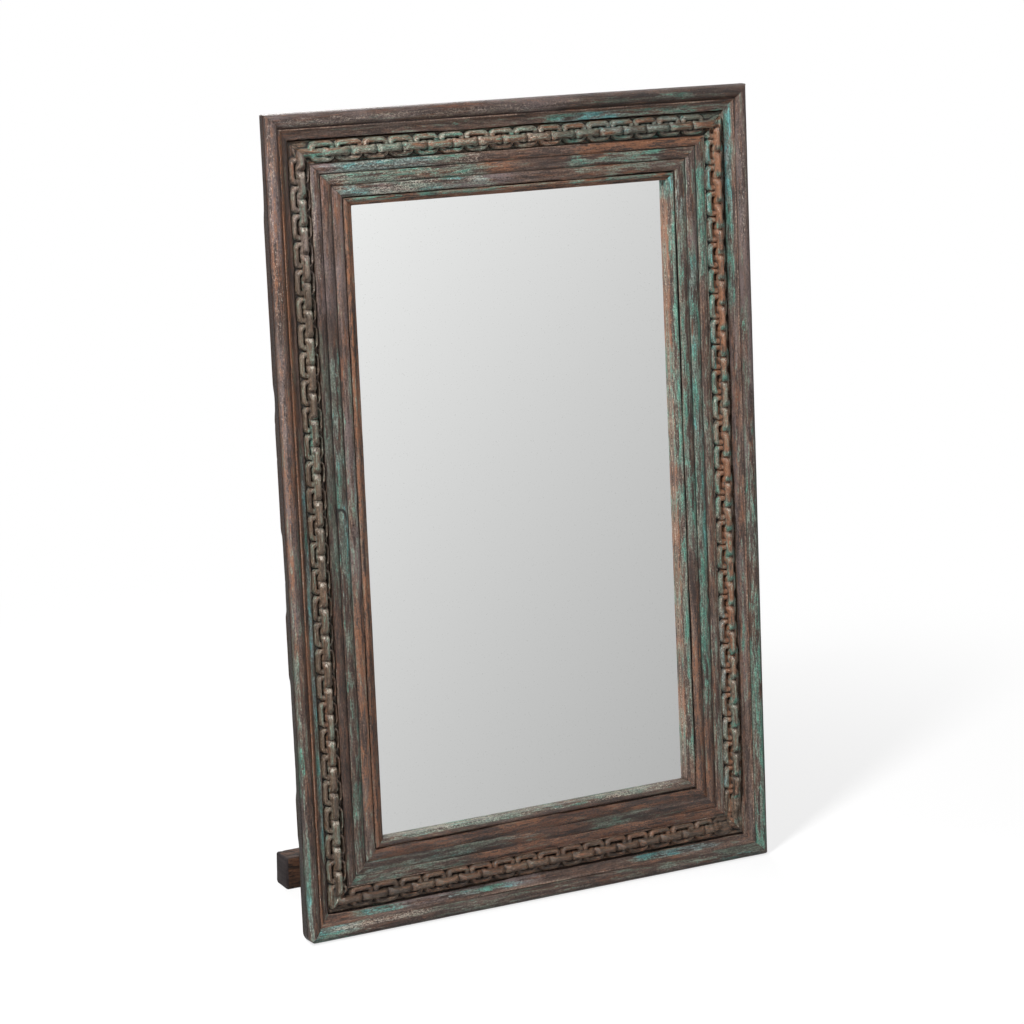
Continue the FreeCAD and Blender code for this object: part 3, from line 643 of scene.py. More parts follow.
@dataclass
class CarvedBoard:
    """One mitred board of the frame's front, with hand-tool waviness and worn edges.

    Lengths are in metres, and a level is the stretch of noise over which something sets in.
    """

    layout: FrameLayout
    side: Side
    kind: str = "board"
    station_step: float = 3.5 * MM
    mitre_gap: float = 0.15 * MM
    mitre_fade: float = 6.0 * MM
    mitre_worn_share: float = 0.15
    wave: float = 0.5 * MM
    tool_marks: float = 0.22 * MM
    nicks: float = 0.9 * MM
    nick_level: Span = (0.62, 0.85)
    rubbed: float = 0.25 * MM
    crest_reach: float = 3.0 * MM
    crest_full: float = 0.30 * MM
    hollow_reach: float = 6.0 * MM
    hollow_full: float = 1.4 * MM
    filling: float = 0.6
    bottom_filling: float = 0.58
    filling_level: Span = (-0.5, 0.4)
    filling_points: int = 2
    back_spare: float = 12.0 * MM
    stretch_fade: float = 0.030
    belt_fade: float = 1.4 * MM
    patch_level: Span = (-0.45, 0.45)
    patch_shares: Span = (0.55, 0.75)
    place_step: float = 0.37
    place_room: float = 7.0
    joints: tuple[int, ...] = (0, 1)
    joint_width: float = 0.6 * MM
    joint_shares: Span = (0.15, 0.7)
    joint_level: Span = (-0.6, 0.7)
    mitre_share: float = 1.0
    mitre_width: float = 1.1 * MM
    open_mitres: dict[Side, Span] = by_side((0.9, 0.3), (0.12, 0.35), (0.35, 0.9), (0.3, 0.12))

    @property
    def node(self) -> str:
        """Name of the node that the board stands for."""
        return BOARD_NODES[self.kind] + "_" + self.side.value

    @property
    def seed(self) -> int:
        """Number that keeps this board's wear unlike the others'."""
        return 100 * list(Side).index(self.side) + sum(map(ord, self.kind))

    @property
    def length(self) -> float:
        """Outer length of the board's side."""
        return self.layout.length(self.side)

    def noise(self, along: Grid, across: Grid, pattern: Pattern, octaves: int = 2,
              layer: int = 0) -> Grid:
        """Noise of this board in one of the patterns."""
        number, cell = pattern.value
        return field_noise(along / cell[0], across / cell[1], self.seed + number + layer, octaves)

    def outline(self) -> Outline:
        """Section of the board."""
        raise NotImplementedError

    def sheet(self) -> Sheet:
        """Make the skin of the straight, mitred board before it is worn.

        Returns:
            The grid of points.
        """
        section, front = self.outline().closed()
        share = np.linspace(0.0, 1.0, max(8, round(self.length / self.station_step)))[:, None]
        across = np.broadcast_to(section[:, 0], (len(share), len(section)))
        along = across + self.mitre_gap + share * (self.length - 2 * across - 2 * self.mitre_gap)
        depth = np.broadcast_to(section[:, 1], along.shape)
        return Sheet(np.stack([along, depth, across], axis=-1), front)

    def wear(self, sheet: Sheet) -> Sheet:
        """Take wood off the front as tools, knocks and age do.

        Args:
            sheet: The straight skin.

        Returns:
            The worn skin, never outside the straight one.
        """
        along, across = sheet.points[..., 0], sheet.points[..., 2]
        filling = self.filling * (1 + self.bottom_filling * (self.side is Side.BOTTOM))
        filling = ease(self.noise(along, across, Pattern.FILLING), *self.filling_level) * filling
        smooth = blurred(sheet.points, self.filling_points, 1, True)
        smooth = (smooth - sheet.points) * (filling * sheet.front)[..., None]
        sheet = Sheet(sheet.points + smooth, sheet.front)
        round_it = np.arange(len(sheet.front))[None, :] * sheet.spacing(1)
        wave = self.noise(along, round_it, Pattern.WAVE) - 1.0
        marks = self.noise(along, round_it, Pattern.MARKS) - 1.0
        nicks = ease(self.noise(along, round_it, Pattern.NICKS), *self.nick_level)
        rubbed = 1 + self.noise(along, round_it, Pattern.RUBBED)
        crest = self.crests(sheet)
        off = (self.wave * wave + self.tool_marks * marks) / 2
        off = off - self.nicks * nicks * crest - self.rubbed * crest * rubbed
        start, end = self.from_mitres(sheet.points)
        near = np.maximum(np.minimum(start, end), 0.0)
        fade = sheet.front[None, :] * np.minimum(1.0, near / self.mitre_fade + self.mitre_worn_share)
        worn = sheet.points + sheet.normals() * (off * fade)[..., None]
        worn[..., 0] = sheet.points[..., 0]
        worn[..., 1] = np.minimum(worn[..., 1], self.layout.board_depth + self.back_spare)
        return Sheet(worn, sheet.front)

    def crests(self, sheet: Sheet) -> Grid:
        """How far each point lies on a crest, from zero to one."""
        return np.clip(sheet.standing_out(self.crest_reach) / self.crest_full, 0.0, 1.0)

    def from_mitres(self, points: Grid) -> tuple[Grid, Grid]:
        """Distances of each point from the mitre planes at the board's start and end."""
        along, across = points[..., 0], points[..., 2]
        return along - across, self.length - across - along

    def painting(self, sheet: Sheet, patches: Sequence[Patch]) -> Grids:
        """Work out what the paint needs to know at each point.

        Args:
            sheet: The worn skin.
            patches: Where another coat shows.

        Returns:
            Grids of the place, the shape, and the coats in two threes.
        """
        points = sheet.points
        along, across = points[..., 0], points[..., 2]
        # depth in a hollow, where the paint lays dirt and painted shade
        hollow = np.clip(-sheet.standing_out(self.hollow_reach) / self.hollow_full, 0.0, 1.0)
        length_share = along / self.length
        seen = 1 - length_share if self.side.reversed else length_share
        coats = np.zeros(points.shape[:2] + (len(Coat),))
        for patch in (p for p in patches if p.side is self.side):
            shown = within(seen, *(around(share, self.stretch_fade) for share in patch.stretch))
            shown = shown * within(across, *(around(edge, self.belt_fade) for edge in patch.belt))
            layer = patch.coat
            broken = ease(self.noise(along, across, Pattern.PATCH, 3, layer), *self.patch_level)
            value = patch.strength * shown * (self.patch_shares[0] + self.patch_shares[1] * broken)
            coats[..., layer] = np.maximum(coats[..., layer], value)
        place = points + np.array([self.place_step * self.seed, 0.0, 0.0]) % self.place_room
        shape = np.stack([self.crests(sheet), hollow, self.seams(sheet)], axis=-1)
        return {"place": place, "shape": shape, "coats": coats[..., :FILMS], "films": coats[..., FILMS:]}

    def seams(self, sheet: Sheet) -> Grid:
        """Work out how dark the joints are, with most of them filled by paint.

        Args:
            sheet: The worn skin.

        Returns:
            Values from zero to one.
        """
        along, across = sheet.points[..., 0], sheet.points[..., 2]
        near = (np.exp(-np.maximum(away, 0.0) / self.mitre_width) * opened
                for away, opened in zip(self.from_mitres(sheet.points), self.open_mitres[self.side]))
        mitre = np.maximum(*near) * self.mitre_share
        front = across[:, sheet.front > 0]
        edges = [across - front.min(), front.max() - across]
        edge = np.minimum.reduce([edges[k] for k in self.joints])
        opened = ease(self.noise(along, across, Pattern.SEAM), *self.joint_level)
        opened = self.joint_shares[0] + self.joint_shares[1] * opened
        return np.maximum(mitre, np.exp(-edge / self.joint_width) * opened)

    def placed(self, points: Grid) -> Grid:
        """Points in the upright frame, out of true as it is."""
        return self.layout.out_of_true(self.layout.turned(self.side, points))

    def cover(self, piece: Piece, points: Grid, finishes: Sequence["Finish"]) -> None:
        """Put the first finish all over the piece."""
        piece.data.materials.append(finishes[0].material())

    def build(self, patches: Sequence[Patch], *finishes: "Finish") -> Piece:
        """Make the board's piece over its node.

        Args:
            patches: Where another coat shows.
            finishes: The board's finish, and that of an outer board's outer side.

        Returns:
            The new piece.
        """
        sheet = self.wear(self.sheet())
        values = self.painting(sheet, patches)
        placed = self.layout.leaned(self.placed(sheet.points))
        piece = SkinMesh("worn_" + self.node).build(placed, values)
        self.cover(piece, sheet.points, finishes)
        return piece


@dataclass
class OuterMoulding(CarvedBoard):
    """Edge bead, ridge and cove."""

    kind: str = "outer"
    width: float = 0.048
    bead_groove: float = 0.0095
    ridge_width: float = 0.0045
    ridge_front: float = 0.0072
    cove_edge: float = 0.0135
    cove_hollow: float = 0.002
    lip: float = 0.5 * MM
    joints: tuple[int, ...] = (1,)
    mitre_share: float = 0.35
    # strength of the painted shade on the board's outer side, by side; past one it takes the deeper glaze
    side_shade: dict[Side, float] = by_side(1.6, 1.6, 1.2, 1.6)
    side_rise: Span = (0.003, 0.012)
    side_depth: float = 8.0 * MM
    side_across: float = 10.0 * MM

    def outline(self) -> Outline:
        """Draw the section: up the outer side, over bead and ridge, through the cove.

        Returns:
            The closed outline.
        """
        r, depth = self.layout.bead_radius, self.layout.board_depth
        w, groove = self.width, self.bead_groove
        bead_end = r + math.sqrt(r ** 2 - (r - groove) ** 2)
        ridge_end = bead_end + self.ridge_width
        cove = ((ridge_end + w) / 2, (groove + self.cove_edge) / 2 + self.cove_hollow)
        made = Outline((0.0, depth), 1.15 * MM)
        made.line((0.0, r)).arc((r, 0.0), (bead_end, groove))
        made.arc((bead_end + self.ridge_width / 2, self.ridge_front), (ridge_end, groove))
        made.arc(cove, (w - self.lip, self.cove_edge))
        made.line((w, self.cove_edge + 2 * self.lip))
        made.line((w, depth), 0.0, 14 * MM).line((0.0, depth), 0.0, 20 * MM)
        return made

    def painting(self, sheet: Sheet, patches: Sequence[Patch]) -> Grids:
        """Darken the board's outer side with painted shade as well.

        Args:
            sheet: The worn skin.
            patches: Where another coat shows.

        Returns:
            The changed grids.
        """
        values = super().painting(sheet, patches)
        # painted shade on the outer side of the board
        on_side = sheet.points[..., 2] < self.side_across
        side_shade_share = ease(sheet.points[..., 1], *self.side_rise) * on_side * self.side_shade[self.side]
        films, layer = values["films"], GRIME - FILMS
        films[..., layer] = np.maximum(films[..., layer], side_shade_share)
        return values

    def placed(self, points: Grid) -> Grid:
        """Points in the upright frame, with its outer corners rounded."""
        return self.layout.rounded(super().placed(points))

    def cover(self, piece: Piece, points: Grid, finishes: Sequence["Finish"]) -> None:
        """Put the second finish, a duller copy of the paint for the shaded outer side, on the board's
        outer side.

        Args:
            piece: The board's piece.
            points: Points of the worn skin.
            finishes: The board's finish and that of its outer side.
        """
        for finish in finishes:
            piece.data.materials.append(finish.material())
        on_side = (points[:-1, :, 1] > self.side_depth) & (points[:-1, :, 2] < self.side_across)
        slots = np.concatenate([(on_side & np.roll(on_side, -1, axis=1)).ravel(), [False, False]])
        piece.data.polygons.foreach_set("material_index", slots.astype(np.int32))


@dataclass
class InnerMoulding(CarvedBoard):
    """Three crowned bands with grooves between them."""

    kind: str = "inner"
    start: float = 0.087
    width: float = 0.061
    band_widths: tuple[float, ...] = (0.017, 0.019, 0.021)
    band_fronts: tuple[float, ...] = (0.0125, 0.014, 0.016)
    band_edges: tuple[float, ...] = (0.0155, 0.0175, 0.0185)
    groove_width: float = 0.002
    groove_depths: tuple[float, ...] = (0.0185, 0.020)
    groove_slope: float = 0.3 * MM
    inner_edge: float = 0.0205
    inner_lip: float = 0.4 * MM
    flatness: dict[Side, float] = by_side(0.15, 0.15, 0.35, 0.5)
    knot_place: Span = (0.111, 0.732)
    knot_radius: float = 10.0 * MM
    knot_stretch: float = 1.5
    knot_line: float = 1.8 * MM
    knot_strength: float = 1.8
    knot_rise: Span = (-0.020, 0.004)

    def outline(self) -> Outline:
        """Draw the section from the chain strip to the sight bead, its bands rubbed flatter.

        Returns:
            The closed outline.
        """
        depth, end = self.layout.board_depth, self.start + self.width
        flat = self.flatness[self.side]
        edges = [edge - (edge - front) * flat for edge, front in zip(self.band_edges, self.band_fronts)]
        floors = [floor - (floor - edge) * flat for floor, edge in zip(self.groove_depths, edges)]
        made = Outline((self.start, depth), 1.1 * MM)
        made.line((self.start, edges[0]), 0.0, 6 * MM)
        at = self.start
        grooves = zip(self.band_widths, self.band_fronts, edges, floors, edges[1:])
        for width, front, edge, floor, following in grooves:
            stop, far = at + width, at + width + self.groove_width
            made.arc(((at + stop) / 2, front), (stop, edge))
            made.line((stop + self.groove_slope, floor)).line((far - self.groove_slope, floor))
            made.line((far, following))
            at = far
        made.arc(((at + end) / 2, self.band_fronts[-1]), (end - self.inner_lip, self.inner_edge))
        made.line((end, self.inner_edge + 2 * self.inner_lip))
        made.line((end, depth), 0.0, 6 * MM).line((self.start, depth), 0.0, 20 * MM)
        return made

    def seams(self, sheet: Sheet) -> Grid:
        """Add the dark arch over an old knot in the left board.

        Args:
            sheet: The worn skin.

        Returns:
            How dark each point is.
        """
        seams = super().seams(sheet)
        if self.side is not Side.LEFT:
            return seams
        up = self.length - sheet.points[..., 0] - self.knot_place[1]
        aside = sheet.points[..., 2] - self.knot_place[0]
        ring = np.hypot(up / self.knot_stretch, aside) - self.knot_radius
        arch = self.knot_strength * np.exp(-(ring / self.knot_line) ** 2) * ease(up, *self.knot_rise)
        return np.maximum(seams, arch)


@dataclass
class SightBead(CarvedBoard):
    """Thin strip round the glass: a small crest, a notched slope and a square inner side."""

    kind: str = "sight"
    start: float = 0.148
    width: float = 0.014
    edge: float = 0.0225
    crest_front: float = 0.0195
    crest_width: float = 0.0065
    slope_edge: float = 0.0275
    slope_lips: Triple = (0.6 * MM, 0.2 * MM, 0.5 * MM)
    glass_front: float = 0.039
    crest_full: float = 1.2 * MM
    station_step: float = 2.6 * MM
    wave: float = 0.3 * MM
    nicks: float = 0.7 * MM
    filling: float = 0.3
    notch: float = 0.35 * MM
    notch_slant: Span = (0.0062, 0.0050)
    notch_level: Span = (-0.3, 0.6)
    notch_fades: Span = (1.0 * MM, 1.5 * MM)

    def outline(self) -> Outline:
        """Draw the section of the strip, its inner side painted as well.

        Returns:
            The closed outline.
        """
        end, crest_end = self.start + self.width, self.start + self.crest_width
        before, above, below = self.slope_lips
        made = Outline((self.start, self.glass_front), 0.8 * MM)
        made.line((self.start, self.edge), 0.0, 6 * MM)
        made.arc((self.start + self.crest_width / 2, self.crest_front), (crest_end, self.edge))
        made.line((end - before, self.slope_edge - above)).line((end, self.slope_edge + below))
        made.line((end, self.glass_front)).line((self.start, self.glass_front), 0.0, 7 * MM)
        return made

    def wear(self, sheet: Sheet) -> Sheet:
        """Notch the slope with small slanting cuts as well.

        Args:
            sheet: The straight skin.

        Returns:
            The worn skin.
        """
        worn = super().wear(sheet)
        along, across = worn.points[..., 0], worn.points[..., 2]
        start, end = self.start + self.crest_width, self.start + self.width
        slope = within(across, (start, start + self.notch_fades[0]), (end - self.notch_fades[1], end))
        slant = along / self.notch_slant[0] + across / self.notch_slant[1]
        cut = ease(self.noise(slant, along, Pattern.NOTCH), *self.notch_level)
        worn.points[..., 1] += self.notch * slope * cut * worn.front
        return worn


def rounding(share: Grid) -> Grid:
    """How far a round bar falls away from its crest, where the share runs from middle to edge."""
    return 1 - np.sqrt(np.maximum(1 - share ** 2, 0))


@dataclass(frozen=True)
class LinkShape:
    """One kind of link.

    The jitter is how far a link lies from its place, and the skew how far it leans, at most.
    """

    front: float
    lowering: float
    gap: float
    crown: float
    wall: Span
    jitter: float
    skew: float


@dataclass
class ChainStrip(CarvedBoard):
    """Board carved with a chain in relief: links that lie flat and links that stand on edge.

    What is aside is measured from the chain's middle line towards the glass.
    """

    kind: str = "chain"
    start: float = 0.048
    width: float = 0.039
    station_step: float = 1.05 * MM
    wave: float = 0.3 * MM
    tool_marks: float = 0.5 * MM
    nicks: float = 0.6 * MM
    filling: float = 0.0
    crest_reach: float = 2.4 * MM
    crest_full: float = 0.8 * MM
    hollow_full: float = 3.0 * MM
    starts: dict[Side, float] = by_side(0.074, 0.088, 0.087, 0.090)
    ends: dict[Side, float] = by_side(0.052, 0.050, 0.087, 0.067)
    counts: dict[Side, int] = by_side(28, 28, 16, 17)
    ground: float = 20.0 * MM
    ground_rough: float = 0.35 * MM
    rough: float = 0.28 * MM
    bank_depth: float = 18.0 * MM
    bank_edge: Span = (0.003, 0.006)
    rubbed_share: float = 0.25
    rubbed_ends: dict[Side, Span] = by_side((-1.0, 0.0), (0.085, 0.165), (-1.0, 0.0), (0.860, 0.775))
    flat: LinkShape = LinkShape(9.3 * MM, 0.4 * MM, 1.4 * MM, 5.0 * MM, (1.0, 1.22), 0.7 * MM, 0.035)
    upright: LinkShape = LinkShape(1.0 * MM, 0.5 * MM, 0.2 * MM, 7.5 * MM, (1.0, 1.16), 0.6 * MM, 0.05)
    link_width: float = 36.2 * MM
    link_shares: Span = (0.98, 0.02)
    bottom_widening: float = 2.2 * MM
    link_bars: dict[Side, float] = by_side(0.0092, 0.0092, 0.0098, 0.0100)
    link_round: float = 12.5 * MM
    lying_rounds: Span = (0.011, 0.015)
    inner_bar: float = 5.0 * MM
    inner_bar_edge: Span = (0.0, 0.006)
    inner_sink: float = 0.8 * MM
    inner_sink_edge: Span = (0.004, 0.013)
    hole_depth: float = 4.5 * MM
    hole_edge: Span = (0.0, 0.0008)
    lying_floor: float = 0.15
    uncut_depth: float = 1.5 * MM
    uncut_edge: Span = (1.316, 1.320)
    drill_place: Span = (1.333, 0.008)
    drill_radius: float = 3.5 * MM
    pocket_floor: float = 0.75
    pocket_edge: Span = (0.0035, 0.0065)
    pocket_shares: Span = (0.1, 0.9)
    pocket_start: Span = (-0.001, 0.004)
    upright_width: float = 12.2 * MM
    upright_size_share: float = 0.05
    upright_bulge: float = 2.0 * MM
    bulge_rise: Span = (0.014, 0.004)
    bulge_fall: float = 3.0 * MM
    bulge_fall_share: float = 0.25
    upright_dip: float = 7.8 * MM
    dip_length: float = 12.0 * MM
    dip_power: float = 1.7
    upright_foot: float = 0.5 * MM
    column_shifts: dict[Side, float] = by_side(0.0016, -0.0046, 0.0010, -0.0008)
    column_sizes: dict[Side, float] = by_side(1.02, 0.86, 1.02, 0.98)
    # strength of the painted highlight on the upper tips of the standing links, by side
    tip_highlight_strengths: dict[Side, float] = by_side(1.4, 1.1, 0.0, 0.0)
    tip_place: float = 4.5 * MM
    tip_reach: float = 3.0 * MM
    tip_slant: float = 0.4
    tip_shift: float = 1.0 * MM
    tip_edge: Span = (0.003, 0.006)
    tip_level: Span = (-0.5, 0.5)
    tip_shares: Span = (0.25, 0.75)
    hole_belt: tuple[Span, Span] = ((0.0015, 0.0030), (0.0085, 0.0110))
    foot_place: float = 7.0 * MM
    foot_reach: float = 5.0 * MM
    foot_edge: Span = (0.0, 0.002)
    leaf_length: float = 40.0 * MM
    leaf_width: float = 15.0 * MM
    leaf_front: float = 12.5 * MM
    leaf_edge: Span = (-0.0014, 0.0006)
    leaf_rib: float = 1.2 * MM
    leaf_rib_width: float = 1.1 * MM
    leaf_veins: float = 0.5 * MM
    leaf_vein_step: float = 1.1 * MM
    leaf_slope: float = 0.12

    @property
    def middle(self) -> float:
        """Distance of the chain's middle line from the outer edge."""
        return self.start + self.width / 2

    @property
    def first(self) -> float:
        """Where the chain starts along the side."""
        return self.starts[self.side]

    @property
    def pitch(self) -> float:
        """Distance from link to link."""
        return (self.length - self.first - self.ends[self.side]) / self.counts[self.side]

    def outline(self) -> Outline:
        """Draw the section of the flat board, close-set points on its front.

        Returns:
            The closed outline.
        """
        end, depth = self.start + self.width, self.layout.board_depth
        made = Outline((self.start, depth), 0.85 * MM)
        made.line((self.start, self.ground), 0.0, 8 * MM).line((end, self.ground))
        made.line((end, depth), 0.0, 8 * MM).line((self.start, depth), 0.0, 13 * MM)
        return made

    def sheet(self) -> Sheet:
        """Carve the relief into the flat board.

        Returns:
            The carved skin.
        """
        flat = super().sheet()
        points = flat.points.copy()
        relief = self.relief(points[..., 0], points[..., 2])
        on_front = (flat.front > 0.5)[None, :] | (np.abs(points[..., 1] - self.ground) < SAME_PLACE)
        points[..., 1] = np.where(on_front, relief, points[..., 1])
        return Sheet(points, on_front[0].astype(float))

    def relief(self, along: Grid, across: Grid) -> Grid:
        """Work out the depth of the carving's front.

        Args:
            along: Places along the side.
            across: Distances from the outer edge.

        Returns:
            The depths.
        """
        rng = np.random.default_rng(self.seed)
        aside = across - self.middle
        fade = self.rubbed_share + (1 - self.rubbed_share) * ease(along, *self.rubbed_ends[self.side])
        ground = self.ground + self.ground_rough * self.noise(along, across, Pattern.GROUND)
        if self.side is Side.BOTTOM:
            bank = 1 - ease(across - self.start, *self.bank_edge)
            ground = ground + (self.bank_depth - ground) * bank
        ground = np.minimum(ground, self.leaves(along, across, ground))
        depth = ground + (self.flat_links(along, aside, ground, rng) - ground) * fade
        uprights = self.upright_links(along, aside, rng)
        depth = np.minimum(depth, depth + (uprights - depth) * fade)
        rough = self.rough * self.noise(along, across, Pattern.ROUGH)
        return np.maximum(depth + rough, self.upright.front)

    def links(self, along: Grid, aside: Grid, shape: LinkShape, offset: float,
              rng: np.random.Generator) -> tuple[Grid, Grid, Grid]:
        """Find the nearest link of one kind, each of them a little unlike the others.

        Args:
            along: Places along the side.
            aside: Distances from the middle line.
            shape: The kind of link.
            offset: Where the first one's middle lies, in pitches.
            rng: Source of the differences.

        Returns:
            Distances from its middle along the side, depths of its crest, and how large it is, from
            minus one to one.
        """
        count = self.counts[self.side]
        order = np.floor((along - self.first) / self.pitch + 0.5 - offset)
        order = np.clip(order, 0, count - 1).astype(int)
        shift, lower, skew, size = (rng.uniform(-1, 1, count)[order] for _ in range(4))
        away = along - (self.first + (order + offset) * self.pitch)
        away = away - shape.jitter * shift + shape.skew * skew * aside
        return away, shape.front + shape.lowering * (1 + lower), size

    def flat_links(self, along: Grid, aside: Grid, ground: Grid, rng: np.random.Generator) -> Grid:
        """Work out the links that lie flat: rings of round bar on the ground.

        Args:
            along: Places along the side.
            aside: Distances from the middle line.
            ground: Depth of the ground.
            rng: Source of the differences.

        Returns:
            The depths.
        """
        a, top, size = self.links(along, aside, self.flat, 0.5, rng)
        edge = self.from_ring(a, aside, size)
        bar = self.link_bars[self.side]
        if self.side is Side.LEFT:
            bar = bar + (self.inner_bar - bar) * ease(aside, *self.inner_bar_edge)
            top = top + self.inner_sink * ease(aside, *self.inner_sink_edge)
        share = np.abs(edge + bar / 2) / (bar / 2)
        top = top + self.flat.crown * rounding(share)
        uncut = self.uncut_share(along, a, aside) * (edge < -bar / 2)
        deeper = self.hole_depth * ease(-edge - bar, *self.hole_edge)
        floor = (ground + deeper) * (1 - uncut) + (self.flat.front + self.uncut_depth) * uncut
        wall = ease(share, *self.flat.wall)
        return np.minimum(top * (1 - wall) + floor * wall, floor)

    def from_ring(self, a: Grid, aside: Grid, size: Grid) -> Grid:
        """Work out how far places lie outside the rounded rectangle of a flat link.

        Args:
            a: Distances from the link's middle, lengthwise.
            aside: Distances from the middle line.
            size: The link's own size, from minus one to one.

        Returns:
            The distances, negative inside.
        """
        corner: float | Grid = self.link_round
        if not self.side.upright:
            above = aside > 0 if self.side is Side.BOTTOM else aside < 0
            corner = np.where(above, *self.lying_rounds)
        full = self.link_width + self.bottom_widening * (self.side is Side.BOTTOM)
        half = (self.pitch - self.flat.gap) / 2 - corner
        broad = full / 2 * (self.link_shares[0] - self.link_shares[1] * size) - corner
        beyond_a, beyond_b = np.abs(a) - half, np.abs(aside) - broad
        edge = np.hypot(np.maximum(beyond_a, 0), np.maximum(beyond_b, 0))
        return edge + np.minimum(np.maximum(beyond_a, beyond_b), 0) - corner

    def uncut_share(self, along: Grid, a: Grid, aside: Grid) -> Grid | float:
        """Work out how far the links' holes were left uncut.

        Those at the left side's foot never were, but for one drill hole. Those of the right side
        are pockets in their outer halves, and those of the level sides are nearly open.

        Args:
            along: Places along the side.
            a: Distances from the link's middle, lengthwise.
            aside: Distances from the middle line.

        Returns:
            One where nothing was cut.
        """
        if self.side is Side.LEFT:
            drilled = np.hypot(along - self.drill_place[0], aside - self.drill_place[1])
            return np.where(drilled < self.drill_radius, 0.0, ease(along, *self.uncut_edge))
        if self.side is Side.RIGHT:
            deep = self.pocket_shares[0] + self.pocket_shares[1] * ease(a, *self.pocket_start)
            return self.pocket_floor * (1 - (1 - ease(aside, *self.pocket_edge)) * deep)
        return self.lying_floor

    def upright_links(self, along: Grid, aside: Grid, rng: np.random.Generator) -> Grid:
        """Work out the links that stand on edge, whose ends swell and dive through the flat ones.

        Args:
            along: Places along the side.
            aside: Distances from the middle line.
            rng: Source of the differences.

        Returns:
            The depths.
        """
        aside = aside - self.column_shifts[self.side]
        away, crest, size = self.links(along, aside, self.upright, 0.0, rng)
        b, reach = np.abs(away), (self.pitch - self.upright.gap) / 2
        dive = np.clip((b - reach + self.dip_length) / self.dip_length, 0, 1)
        crest = crest + self.upright_dip * dive ** self.dip_power
        swell = ease(b, *(reach - back for back in self.bulge_rise))
        swell = swell * (1 - self.bulge_fall_share * ease(b, reach - self.bulge_fall, reach))
        breadth = self.upright_width / 2 * (1 + self.upright_size_share * size)
        breadth = (breadth + self.upright_bulge * swell) * self.column_sizes[self.side]
        share = np.abs(aside) / breadth
        top = crest + self.upright.crown * rounding(share)
        wall = ease(share, *self.upright.wall)
        return top * (1 - wall) + (self.ground + self.upright_foot) * wall

    def leaves(self, along: Grid, across: Grid, ground: Grid) -> Grid:
        """Carve leaves on the mitre lines at both ends, with a rib down the middle.

        Args:
            along: Places along the side.
            across: Distances from the outer edge.
            ground: Depth of the ground.

        Returns:
            The depths.
        """
        made = ground
        for at, way in ((self.middle, -1), (self.length - self.middle, 1)):
            da, dc = along - at, across - self.middle
            lengthwise = (da - way * dc) / math.sqrt(2)
            crosswise = np.abs(way * da + dc) / math.sqrt(2)
            room = self.leaf_width / 2 * (1 - (lengthwise / (self.leaf_length / 2)) ** 2)
            inside = 1 - ease(crosswise - room, *self.leaf_edge)
            rib = self.leaf_rib * np.exp(-crosswise / self.leaf_rib_width)
            veins = self.leaf_veins * np.sin((lengthwise + crosswise) / self.leaf_vein_step)
            front = self.leaf_front + rib + veins + self.leaf_slope * crosswise
            made = made + (np.minimum(front, ground) - made) * inside
        return made

    def painting(self, sheet: Sheet, patches: Sequence[Patch]) -> Grids:
        """Paint a highlight on the upper tips of the links that stand on edge, partly pale rubbed paint,
        on the two upright sides.

        Args:
            sheet: The worn skin.
            patches: Where another coat shows.

        Returns:
            The changed grids.
        """
        values = super().painting(sheet, patches)
        if not self.side.upright:
            return values
        along, aside = sheet.points[..., 0], sheet.points[..., 2] - self.middle
        order = np.round((along - self.first) / self.pitch)
        upward = -1.0 if self.side.reversed else 1.0
        below_tip = self.pitch / 2 - (along - (self.first + order * self.pitch)) * upward
        tip_highlight = np.exp(-((below_tip - self.tip_place) / self.tip_reach) ** 2)
        slanted = aside - self.column_shifts[self.side] + self.tip_slant * below_tip - self.tip_shift
        tip_highlight = tip_highlight * (1 - ease(np.abs(slanted), *self.tip_edge))
        broken = ease(self.noise(order, aside, Pattern.TIP), *self.tip_level)
        broken = self.tip_shares[0] + self.tip_shares[1] * broken
        # painted highlight on the upper tips, as pale paint with the grime taken off
        values["coats"][..., PALE] += self.tip_highlight_strengths[self.side] * tip_highlight * broken
        values["films"][..., GRIME - FILMS] *= 1 - tip_highlight
        if self.side is Side.RIGHT:
            self.colour_holes(values, aside, self.pitch - below_tip)
        return values

    def colour_holes(self, values: Grids, aside: Grid, above_foot: Grid) -> None:
        """Show brown in the right side's holes, and teal on the lower ends of its standing links.

        Args:
            values: The board's painting, changed in place.
            aside: Distances from the middle line.
            above_foot: Distances from the lower ends of the standing links.
        """
        coats, films, shape = values["coats"], values["films"], values["shape"]
        hole = within(aside, *self.hole_belt)
        coats[..., BARE] += 1.1 * hole
        coats[..., TEAL] *= 1 - 0.8 * hole
        films[..., BLUE - FILMS] *= 1 - 0.7 * hole
        # less dirt and painted shade in the holes
        shape[..., 1] *= 1 - 0.5 * hole
        foot = np.exp(-((above_foot - self.foot_place) / self.foot_reach) ** 2)
        foot = foot * (1 - ease(aside, *self.foot_edge))
        coats[..., TEAL] += 0.8 * foot
        coats[..., BARE] *= 1 - 0.7 * foot


